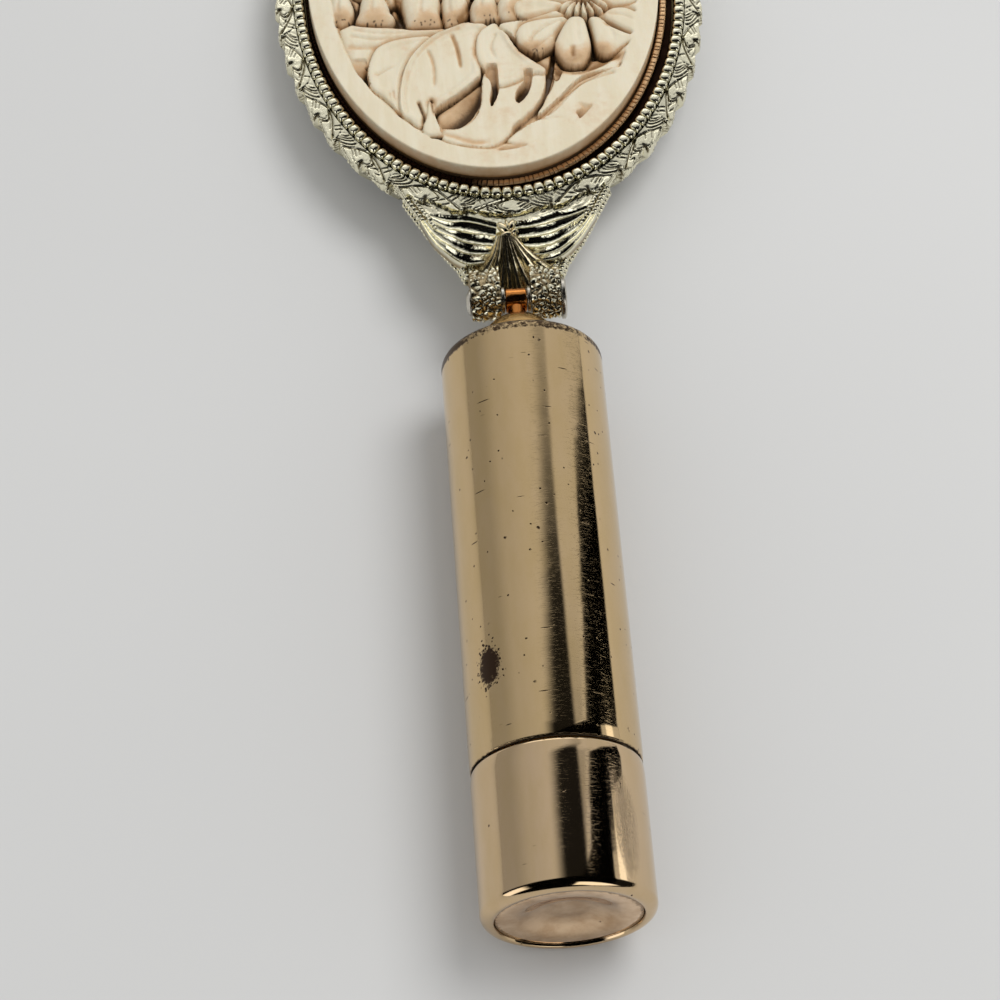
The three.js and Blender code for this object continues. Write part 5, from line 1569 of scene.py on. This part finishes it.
def carve_flowers(relief):
    """A full flower of round-ended lobes on the left and an open daisy on the right."""
    chance = np.random.default_rng(3)
    left, right = (-8.4, 4.6), (11.2, -6.4)
    count = 18
    for ring_reach, ring_width, level, shift in ((12.4, 3.5, 0.0, 0.0), (9.0, 3.2, 0.2, 0.5),
                                                 (6.0, 2.6, 0.35, 0.2)):
        for i in range(count):
            angle = (i + shift) * 2 * math.pi / count
            reach = ring_reach * (0.86 + 0.1 * math.cos(angle * 2 + 0.4))
            relief.leaf(petal(*left, angle, reach, ring_width, 0.3), level, 0.5, 0.9, (0.0, 0.0), 0.5, 0.15)
            cos, sin = math.cos(angle), math.sin(angle)
            mid = [(left[0] + reach * k * cos, left[1] + reach * k * sin) for k in (0.95, 0.7, 0.45)]
            relief.groove(mid, 0.14, 0.22, 0.25)
        count -= 5
    lobes = (
        [(-15.2, -2.9), (-13.4, -2.6), (-12.6, -4), (-12.4, -5.3), (-11.9, -6.3), (-12.3, -7.2),
         (-13.3, -7.5), (-14.6, -7.4), (-15.8, -7.1), (-16.1, -6.3), (-15.7, -5.1)],
        [(-10.4, -3.6), (-8.8, -2.6), (-6.6, -2.9), (-6.2, -4.6), (-6.4, -5.8), (-6.1, -7.4), (-6.8, -8.1),
         (-8.5, -8.2), (-9.8, -8), (-10.1, -6.8)],
        [(-5.6, -3.4), (-4.6, -2.2), (-3.3, -3.6), (-2.8, -5.6), (-4.3, -7.8), (-5.4, -8.1), (-5.7, -6.5)],
        [(-2.2, -4.8), (-0.9, -3.4), (0.6, -4.4), (1, -7), (-0.4, -7.5), (-2.1, -7.7)],
        [(1.3, -4.4), (3.6, -3.6), (4.9, -5.2), (3.6, -7.3), (1.4, -7.5)],
        [(-19, -2.5), (-17.4, -2.4), (-16.7, -4.6), (-17.2, -6.4), (-18.2, -7.2), (-19.2, -5.5)],
    )
    for outline in lobes:
        x, y = np.mean(outline, 0)
        foot = min(point[1] for point in outline)
        wider = [(x + (px - x) * 1.16, y + (py - y) * 1.05) for px, py in outline]
        relief.leaf(wider, 0.3, 1.2, 1.7, (0.02, 0.03), 0.7)
        relief.groove([(x - 0.3, y + 2.2), (x - 0.5, y), (x - 0.3, foot + 1.2)], 0.16, 0.22, 0.3)
        relief.stain(x, foot + 0.9, 1.7, 1.5, 1.0)
        relief.specks(x, foot + 0.4, 7, (2.6, 0.7), chance)
    relief.groove([(-3.9, -7.4), (-3.2, -6), (-2.3, -4.2)], 0.3, 0.3, 1.0, False, dirt_and_shade=0.3)
    relief.groove([(-11.3, -3.2), (-11.1, -5.4), (-11.3, -7.6)], 0.5, 0.5, 1.1, False, dirt_and_shade=0.35)
    relief.groove([(-16.3, -7.2), (-13.5, -7.8), (-10.9, -8.3), (-7.7, -8.6), (-5.5, -8.7), (-2.6, -7.9)],
                  0.12, 0.3, 0.8, False)
    for degrees, reach in zip((-2, 20, 48, 78, 108, 138, 160, 178), (7.0, 7.4, 8.0, 8.4, 8.2, 7.6, 7.4, 8.4)):
        relief.leaf(petal(*right, math.radians(degrees), reach, 3.4, 0.14), 0.06, 0.4, 0.7, under=0.5,
                    cup=0.15)
    relief.groove([(3.2, -13), (4.6, -14.3), (6.2, -15.5), (7.5, -16.2), (10.1, -16.7), (12.1, -15.7),
                   (13.3, -14.9), (14.6, -14.7)],
                  0.25, 0.55, 1.0, False)
    petals = (
        ([(9.4, -6.7), (7.9, -6.8), (5.8, -7.4), (3.6, -8), (1.2, -8.4), (0.9, -9.1), (2.3, -10.4),
          (3.1, -10.9), (4.5, -9.3), (6, -8.6), (8, -8), (9.5, -7.8)], 0.02, 0.3, 0.7),
        ([(12.8, -7.9), (14, -7.1), (16.2, -7), (17.8, -8.3), (18.1, -9.8), (17.5, -11.6), (16.8, -11.5),
          (15.4, -10.2), (13.8, -8.9)], 0.05, 0.3, 0.7),
        ([(9.4, -7.8), (8.2, -7.9), (5.8, -8.1), (3.8, -8.6), (2.9, -9.7), (2.7, -11.1), (3.2, -12.3),
          (4.7, -13.6), (6.3, -12.9), (7.3, -12), (7.5, -10.8), (8.8, -8.8)], 0.2, 0.6, 1.1),
        ([(11.5, -8.3), (12.8, -8.2), (13.8, -9.2), (15.4, -10.5), (16.8, -11.5), (16.3, -12.3),
          (15.4, -12.9), (14.4, -13.8), (13.3, -14.3), (12.3, -14), (12, -12.5), (11.8, -10.6)], 0.12, 0.55,
          1.1),
        ([(9.5, -8), (10.8, -7.9), (11.3, -8.7), (11.5, -10.5), (11.6, -12.6), (11.1, -14.4), (10.4, -15.5),
          (9.3, -15.9), (8.2, -15.5), (7.5, -14.1), (7.2, -12.6), (7.7, -10.9), (8.6, -9.1)], 0.25, 0.7, 1.2),
    )
    for outline, level, crown, edge in petals:
        relief.leaf(outline, level, crown, edge, (0.0, 0.02), 0.6)
    for line, depth, warm in (
        ([(8.2, -8.5), (6.3, -9.5), (4.7, -10.9), (4.1, -12.5)], 0.3, 0.35),
        ([(8.5, -8.8), (7.1, -10.8), (5.5, -12.2), (4.4, -13.4)], 0.25, 0.35),
        ([(9.3, -13.2), (9.2, -15.3)], 0.45, 0.9), ([(13.8, -9.5), (15.6, -10.7), (17.1, -11.6)], 0.3, 0.7),
        ([(10.3, -8.6), (10.1, -11.5), (10.4, -13)], 0.1, 0.1),
        ([(7, -7.3), (4.6, -8.1), (2.2, -9.2)], 0.16, 0.2),
        ([(13.4, -9.4), (14.3, -11.2), (14.2, -12.9)], 0.14, 0.2),
        ([(14.2, -7.9), (16, -8.4), (17.4, -9.6)], 0.14, 0.2),
    ):
        relief.groove(line, depth, 0.24, warm)
    relief.groove([(11.3, -8.2), (11.6, -10.2), (11.8, -12.4), (11.8, -14.3)], 0.9, 0.2, 1.0, False, dirt_and_shade=0.9)
    for x, y, wide, high, amount in ((4.6, -13.0, 1.9, 1.2, 1.2), (9.3, -15.0, 2.2, 1.1, 1.2),
                                     (12.8, -13.8, 1.8, 1.2, 1.2), (7.1, -13.6, 0.8, 1.6, 1.0)):
        relief.stain(x, y, wide, high, amount)
    relief.specks(4.6, -13.2, 9, (2.4, 1.0), chance)
    relief.specks(13, -14.3, 6, (2.4, 0.8), chance)
    for i in range(7):
        angle = math.radians(-90 + (i - 3) * 16)
        stub = petal(right[0] + (i - 3) * 0.2, right[1] + 1.6, angle, 3.0 + 0.3 * (i % 2), 0.75)
        relief.leaf(stub, 0.4, 0.5, 0.4, under=0.5)


def carve_upper(relief):
    """Leaves and pockets round the top, in the same style, turned half way round."""

    def over(outline, shift=(0.0, 0.0), mirrored=False):
        sign = 1 if mirrored else -1
        return [(sign * x + shift[0], -y + shift[1]) for x, y in outline]

    def narrowed(outline):
        return over([(x * 0.8, y) for x, y in outline], (-0.8, -1.4), True)

    relief.leaf(over(BOUGH), -0.1, 0.3, 0.6, under=0.25)
    relief.leaf(over(BOUGH, (1.0, 0.4), True), -0.08, 0.3, 0.6, under=0.25)
    relief.leaf(over(LEFT_LEAF, (0.6, -0.6)), 0.0, 0.3, 0.6, under=0.5, cup=0.15)
    relief.leaf(over(MAIN_LEAF, (0.2, -0.6)), 0.1, 0.35, 0.6, under=0.5, cup=0.15)
    relief.groove(over(ARC, (0.2, -0.6)), -0.3, 0.27, 0.0, False)
    relief.leaf(narrowed(MAIN_LEAF), 0.1, 0.35, 0.6, under=0.5, cup=0.15)
    relief.groove(narrowed(ARC), -0.3, 0.27, 0.0, False)
    for line in VEINS[:2]:
        relief.groove(over(line, (0.2, -0.6)), 0.3, 0.24, 0.5)
        relief.groove(narrowed(line), 0.3, 0.22, 0.5)
    for outline in (BIG_POCKET, LEFT_POCKET, SLOTS[0], BENT_POCKET):
        relief.hole(over(outline, (0.2, -0.4)), 2.2, 0.9, (-0.3, 1.0))
    for outline in (BENT_POCKET, RIGHT_HOLE):
        relief.hole(over(outline, (-0.3, 0.2), True), 1.9, 0.9, (-0.3, 1.0))


def carved_field():
    """Heights of the carving, its warm stain (partly painted shade in broad hollows) and its dirt with painted
    shade (darker the lower the carving goes and in its creases).
    """
    relief = Relief(CARVED_AT - FIELD_HALF - 1, CARVED_AT + FIELD_HALF + 1, CELL)
    middle_x, middle_y = CARVED_AT
    oval = np.hypot((relief.x - middle_x) / FIELD_HALF[0], (relief.y - middle_y) / FIELD_HALF[1])
    inward = (1 - oval) * FIELD_HALF[0]
    relief.height = -0.08 * soft_step(0.0, 0.4, inward) - 1.0 * soft_step(0.2, 2.6, inward)
    relief.height += 0.05 * np.sin(relief.x * 1.3 + relief.y * 0.9) * soft_step(0.5, 3, inward)
    carve_lower(relief)
    carve_upper(relief)
    carve_flowers(relief)
    depth = sizes().carving_depth / MM
    field = soft_step(0.0, 0.25, inward)
    height = np.clip(relief.height, -depth, 0.45) * field
    soft = blurred(height, 0.7 / CELL)
    # painted shade: how far each place lies below its blurred surroundings
    painted_cavity_shade = np.clip((soft - height) * 1.3, 0, 1)
    wide = np.clip((blurred(height, 1.8 / CELL) - height) * 0.7, 0, 1)
    # broad hollows add painted shade to the warm stain
    warm = np.clip(relief.warm * 0.62 + wide * 0.75, 0, 1.2) * field
    # painted shade: darker the lower the carving goes and in its creases, over the real specks and lines
    dirt_and_shade = np.clip(np.maximum(relief.dirt_and_shade, soft_step(-1.0, -2.2, height)) * 0.9 + 0.35 * painted_cavity_shade, 0, 1) * field
    return relief, height, warm, dirt_and_shade


def field_lines():
    """Mesh lines that run square in the middle and round at the rim.

    Gives the share of the way out that the carved field takes, and for each point its share and direction.
    """
    ring = 0.9
    edge = 0.004
    on_rim = [ring + edge, *np.linspace(ring + 0.012, 0.984, 5), 0.992, 0.9945, 0.9965, 0.9985, 1.0]

    def lines(*counts):
        low, high = (np.concatenate([np.linspace(0, ring - edge, count), on_rim]) for count in counts)
        return np.concatenate([-low[:0:-1], high])

    # the lower half, which the photo shows, has the finer rows
    u, v = np.meshgrid(lines(132, 132), lines(230, 66))
    r = np.maximum(np.abs(u), np.abs(v))
    wide_u = np.abs(u) >= np.abs(v)
    from_side = math.pi / 4 * v / np.where(u == 0, 1, u)
    from_end = math.pi / 2 - math.pi / 4 * u / np.where(v == 0, 1, v)
    angle = np.where(wide_u, from_side, from_end)
    direction = np.where(wide_u, np.sign(u), np.sign(v))
    direction = np.where(direction == 0, 1, direction)
    cos, sin = np.cos(angle) * direction, np.sin(angle) * direction
    return ring, r, cos, sin


class MIRROR_OT_medallion(bpy.types.Operator):
    """Carved medallion with flowers and leaves inside a plain rim, and the card under it"""

    bl_idname = "mirror.medallion"
    bl_label = "Carved medallion"

    def execute(self, context):
        relief, height, warm, dirt_and_shade = carved_field()
        middle_x, middle_y = CARVED_AT
        ring, r, cos, sin = field_lines()
        inner = np.clip(r / ring, 0, 1)
        outer = np.clip((r - ring) / (1 - ring), 0, 1)
        reach_x = FIELD_HALF[0] * inner + (CARVED_HALF[0] - FIELD_HALF[0]) * outer
        reach_y = FIELD_HALF[1] * inner + (CARVED_HALF[1] - FIELD_HALF[1]) * outer
        x, y = reach_x * cos + middle_x, reach_y * sin + middle_y
        z = np.where(r < ring, relief.sample(height, x, y), 0.0)
        ease = np.clip((outer - 0.93) / 0.07, 0, 1)
        z = z - 0.15 * (1 - np.sqrt(np.clip(1 - ease**2, 0, 1)))
        top = CARVED_HIGH[2]
        rows, columns = x.shape
        points = np.stack([x, y, z + top], -1).reshape(-1, 3)
        warm_here = np.where(r < ring, relief.sample(warm, x, y), 0.15 * soft_step(0.5, 1.0, ease)).ravel()
        dirt_and_shade_here = np.where(r < ring, relief.sample(dirt_and_shade, x, y), 0.0).ravel()
        index = np.arange(rows * columns).reshape(rows, columns)
        border = np.concatenate([index[0, :], index[1:, -1], index[-1, -2::-1], index[-2:0:-1, 0]])
        size = len(border)
        wall_levels = [top - 0.4, top - 1.3, top - 1.7, top - 1.85, CARVED_LOW[2]]
        shape = Shape()
        side = [np.concatenate([points[border][:, :2], np.full((size, 1), level)], 1)
                for level in wall_levels]
        centre = np.array([[middle_x, middle_y, CARVED_LOW[2]]])
        everything = np.concatenate([points, *side, centre])
        faces = grid(rows, columns)
        loops = [border] + [rows * columns + k * size + np.arange(size) for k in range(len(wall_levels))]
        for upper, lower in zip(loops, loops[1:]):
            faces += between_rings(upper, lower)
        faces += fan_of(loops[-1], len(everything) - 1)
        # the wall darkens towards its foot, where it meets the collar: painted shade; its warm tint grows the same
        # way and is browner on the bottom and right sides
        toward = np.arctan2(points[border][:, 0] - middle_x, middle_y - points[border][:, 1])
        brown = 0.05 + 0.5 * soft_step(-1.15, -0.35, toward) * soft_step(2.4, 1.6, toward)
        warm_levels = ((0.18, 0.2), (0.28, 0.5), (0.4, 1.0), (0.8, 1.0), (0.8, 1.0))
        side_warm = [level + share * brown for level, share in warm_levels]
        side_painted_shade = np.repeat([0.0, 0.0, 0.1, 0.8, 0.9, 1.0], [size] * len(wall_levels) + [1])
        warm_all = np.concatenate([warm_here, *side_warm, [1.0]])
        shape.add(everything, faces, warm=warm_all, hollow=np.concatenate([dirt_and_shade_here, side_painted_shade]))
        shape.piece("medallion_carved", OVAL, "head", "ivory_resin", "ivory_resin", ["medallion"], sharp=50)
        half = (PAD_HIGH[:2] - PAD_LOW[:2]) / 2
        under = OVAL @ Matrix.Translation((middle_x, middle_y, 0))
        oval_plate(half, PAD_LOW[2], PAD_HIGH[2], 0.1).piece(
            "medallion_pad_card", under, "head", "backing_card", "backing_card", ["medallion_pad"]
        )
        return {"FINISHED"}


class MIRROR_OT_glass(bpy.types.Operator):
    """Mirror glass, the card behind it and its rolled bezel"""

    bl_idname = "mirror.glass"
    bl_label = "Mirror glass"

    def execute(self, context):
        half = (GLASS_HIGH[:2] - GLASS_LOW[:2]) / 2
        oval_plate(half, GLASS_LOW[2], GLASS_HIGH[2], 0.12, 240).piece(
            "mirror_glass_oval", OVAL, "head", "mirror_silver", "mirror_silver", ["mirror_glass"]
        )
        oval_plate(half, MIRROR_PAD_LOW[2], MIRROR_PAD_HIGH[2], 0.05).piece(
            "mirror_pad_card", OVAL, "head", "backing_card", "backing_card", ["mirror_pad"]
        )
        stations = 480
        places, normals, _ = even_oval(*BEAD_HALF, stations)
        outer, inner, lip = -0.3, -1.1, -1.6
        face, glass, top = LIP_LOW[2], GLASS_LOW[2] - 0.1, LIP_HIGH[2]
        bead = [(lip + 0.65 + 0.65 * math.cos(a), face + 0.22 - 0.22 * math.sin(a))
                for a in np.linspace(0, math.pi, 12)]
        section = [(inner, top), (inner, glass), (lip + 0.05, glass), *bead[::-1], (outer, face + 0.24),
                   (outer, top)]
        offsets, heights = everywhere(section, stations)
        shape = Shape()
        swept_oval(shape, places, normals, offsets, heights, hollow=np.where(heights < glass, 0.0, 0.7))
        shape.piece("mirror_bezel_rolled", OVAL, "head", "pale_gold_cast", "pale_gold_cast", ["mirror_bezel"],
                    sharp=45)
        return {"FINISHED"}


# ---------------------------------------------------------------- stage
CAMERA_FROM_CASE = (-13.2287, -111.9958, 255.1015)
CAMERA_RIGHT = (0.997599, -0.069242, -0.001570)
CAMERA_UP = (0.060993, 0.867562, 0.493575)
CAMERA_BACK = (-0.032814, -0.492485, 0.869702)
CAMERA_LENS = 97.2


def studio_world(tree):
    """Plain pale light, with the dark and bright parts of a room for what is mirrored in polished metal."""
    tree.nodes.clear()
    out = tree.nodes.new("ShaderNodeOutputWorld")
    path = wire(tree, "LightPath")
    way = wire(tree, "TexCoord").outputs["Generated"]
    parts = wire(tree, "SeparateXYZ", {0: way})
    x, y, z = parts.outputs[0], parts.outputs[1], parts.outputs[2]
    degrees = 180 / math.pi
    tilt = times(tree, maths(tree, "ARCTAN2", x, z), degrees)
    rise = times(tree, maths(tree, "ARCSINE", y), degrees)

    def between(value, low, high, soft_low, soft_high):
        enter_from, enter_to = minus(tree, low, soft_low), maths(tree, "ADD", low, soft_low)
        leave_from, leave_to = minus(tree, high, soft_high), maths(tree, "ADD", high, soft_high)
        enter = eased(tree, value, enter_from, enter_to)
        return times(tree, enter, eased(tree, value, leave_from, leave_to, 1.0, 0.0))

    def patch(tilts, rises):
        return times(tree, between(tilt, *tilts), between(rise, *rises))

    bar_low = eased(tree, rise, 22.0, 34.0, -9.0, 19.0)
    bar_high = eased(tree, rise, 29.0, 33.5, 26.5, 34.0)
    bar = times(tree, between(tilt, bar_low, bar_high, 9.0, 3.0), eased(tree, rise, 27.0, 34.5, 0.98, 0.25))
    slope = plus(tree, rise, 3.6, 33.0 - 3.6 * 22.0)
    black_low = maths(tree, "ADD", slope, eased(tree, rise, 30.0, 33.0, 0.0, 26.0))
    black_high = eased(tree, rise, 21.5, 24.2, 62.0, 97.0)
    black_fade = eased(tree, rise, 33.6, 34.6, 1.0, 0.0)
    black = times(tree, between(tilt, black_low, black_high, 0.8, 1.2), black_fade)
    gap_high = minus(tree, black_low, 5.0)
    gap_fade = eased(tree, rise, 22.0, 29.0, 0.45, 0.0)
    gap = times(tree, between(tilt, 24.0, gap_high, 1.0, 2.0), gap_fade)
    horizon = times(tree, between(tilt, -96.0, -56.0, 4.0, 13.0), 0.33)
    olive = times(tree, between(tilt, -58.0, -16.0, 8.0, 10.0), 0.06)
    front = eased(tree, rise, 14.0, 5.0, 0.0, 0.985)
    level = 0.65
    for shade in (bar, black, gap, horizon, olive, front):
        level = times(tree, level, minus(tree, 1.0, shade))
    strip = patch((69.0, 80.0, 1.0, 1.5), (12.0, 23.0, 2.0, 0.5))
    panel = patch((-60.0, 50.0, 6.0, 6.0), (52.0, 70.0, 2.0, 2.0))
    window = patch((14.0, 80.0, 4.0, 6.0), (-72.0, -42.0, 4.0, 4.0))
    for light, strength in ((strip, 0.9), (panel, 1.0), (window, 1.6)):
        level = plus(tree, light, strength, level)
    shade = between(tilt, -140.0, -32.0, 12.0, 14.0)
    level = times(tree, level, plus(tree, shade, -0.12, 1.0))
    glint = patch((-104.0, -58.0, 4.0, 6.0), (-36.0, -6.0, 4.0, 4.0))
    level = plus(tree, glint, 1.5, level)
    white = (1.0, 1.0, 1.0, 1.0)
    mirrored = wire(tree, "Background", {"Color": white, "Strength": level})
    plain = wire(tree, "Background", {"Color": white, "Strength": 0.66})
    backdrop = wire(tree, "Background", {"Color": (0.62, 0.62, 0.61, 1.0), "Strength": 1.0})
    first = wire(tree, "MixShader", {0: path.outputs["Is Glossy Ray"], 1: plain.outputs[0],
                                     2: mirrored.outputs[0]})
    second = wire(tree, "MixShader", {0: path.outputs["Is Camera Ray"], 1: first.outputs[0],
                                      2: backdrop.outputs[0]})
    tree.links.new(second.outputs[0], out.inputs["Surface"])


class MIRROR_OT_stage(bpy.types.Operator):
    """Floor, camera, lamp and world"""

    bl_idname = "mirror.stage"
    bl_label = "Stage"

    def execute(self, context):
        scene = context.scene
        half = 1.5
        ends = [(-half, -half, 0), (half, -half, 0), (half, half, 0), (-half, half, 0)]
        mesh = bpy.data.meshes.new("floor")
        mesh.from_pydata(ends, [], [(0, 1, 2, 3)])
        floor = bpy.data.objects.new("floor", mesh)
        scene.collection.objects.link(floor)
        tree, shader, place = start_material("pale_floor", 0.0, 0.85)
        tone = noise(tree, place, 0.008, 2.0)
        tint = colours().floor
        shade = mixed(tree, eased(tree, tone, 0.3, 0.7), rgba(tint), rgba([part * 0.97 for part in tint]))
        tree.links.new(shade, shader.inputs["Base Color"])
        shader.inputs["Specular IOR Level"].default_value = 0.1
        mesh.materials.append(finish("pale_floor"))
        camera_data = bpy.data.cameras.new("camera")
        camera_data.lens = CAMERA_LENS
        camera_data.sensor_width = 36.0
        camera_data.clip_start = 0.01
        camera = bpy.data.objects.new("camera", camera_data)
        turn = Matrix((CAMERA_RIGHT, CAMERA_UP, CAMERA_BACK)).transposed().to_4x4()
        place = (Vector(CAMERA_FROM_CASE) + Vector((0, PARTING, TUBE_Z))) * MM
        camera.matrix_world = Matrix.Translation(place) @ turn
        scene.collection.objects.link(camera)
        scene.camera = camera
        lamp_data = bpy.data.lights.new("soft_lamp", "AREA")
        lamp_data.shape = "DISK"
        lamp_data.size = 0.42
        lamp_data.energy = 2.7
        lamp = bpy.data.objects.new("soft_lamp", lamp_data)
        lamp.location = (0.30, 0.12, 0.66)
        lamp.rotation_mode = "QUATERNION"
        lamp.rotation_quaternion = (-Vector(lamp.location)).to_track_quat("-Z", "Y")
        lamp.visible_glossy = False
        scene.collection.objects.link(lamp)
        scene.view_settings.view_transform = "Standard"
        world = bpy.data.worlds.new("studio")
        scene.world = world
        world.use_nodes = True
        studio_world(world.node_tree)
        return {"FINISHED"}


STEPS = ("finishes", "cap", "hinge", "base", "mechanism", "rim", "neck", "beads", "medallion", "glass",
         "stage")


class MIRROR_PT_panel(bpy.types.Panel):
    """Lists the mirror's pieces, sizes and colours."""

    bl_label = "Vanity mirror"
    bl_idname = "MIRROR_PT_panel"
    bl_space_type = "VIEW_3D"
    bl_region_type = "UI"
    bl_category = "Vanity mirror"

    def draw(self, context):
        for step in STEPS:
            self.layout.operator("mirror." + step)
        for group in (context.scene.mirror_sizes, context.scene.mirror_colours):
            for name in group.__annotations__:
                self.layout.prop(group, name)


CLASSES = (
    MirrorColours,
    MirrorSizes,
    MIRROR_OT_finishes,
    MIRROR_OT_cap,
    MIRROR_OT_hinge,
    MIRROR_OT_base,
    MIRROR_OT_mechanism,
    MIRROR_OT_rim,
    MIRROR_OT_neck,
    MIRROR_OT_beads,
    MIRROR_OT_medallion,
    MIRROR_OT_glass,
    MIRROR_OT_stage,
    MIRROR_PT_panel,
)


def register():
    for item in CLASSES:
        bpy.utils.register_class(item)
    bpy.types.Scene.mirror_colours = bpy.props.PointerProperty(type=MirrorColours)
    bpy.types.Scene.mirror_sizes = bpy.props.PointerProperty(type=MirrorSizes)


def unregister():
    del bpy.types.Scene.mirror_sizes
    del bpy.types.Scene.mirror_colours
    for item in reversed(CLASSES):
        bpy.utils.unregister_class(item)


def main():
    register()
    for step in STEPS:
        getattr(bpy.ops.mirror, step)()


if __name__ == "__main__":
    main()
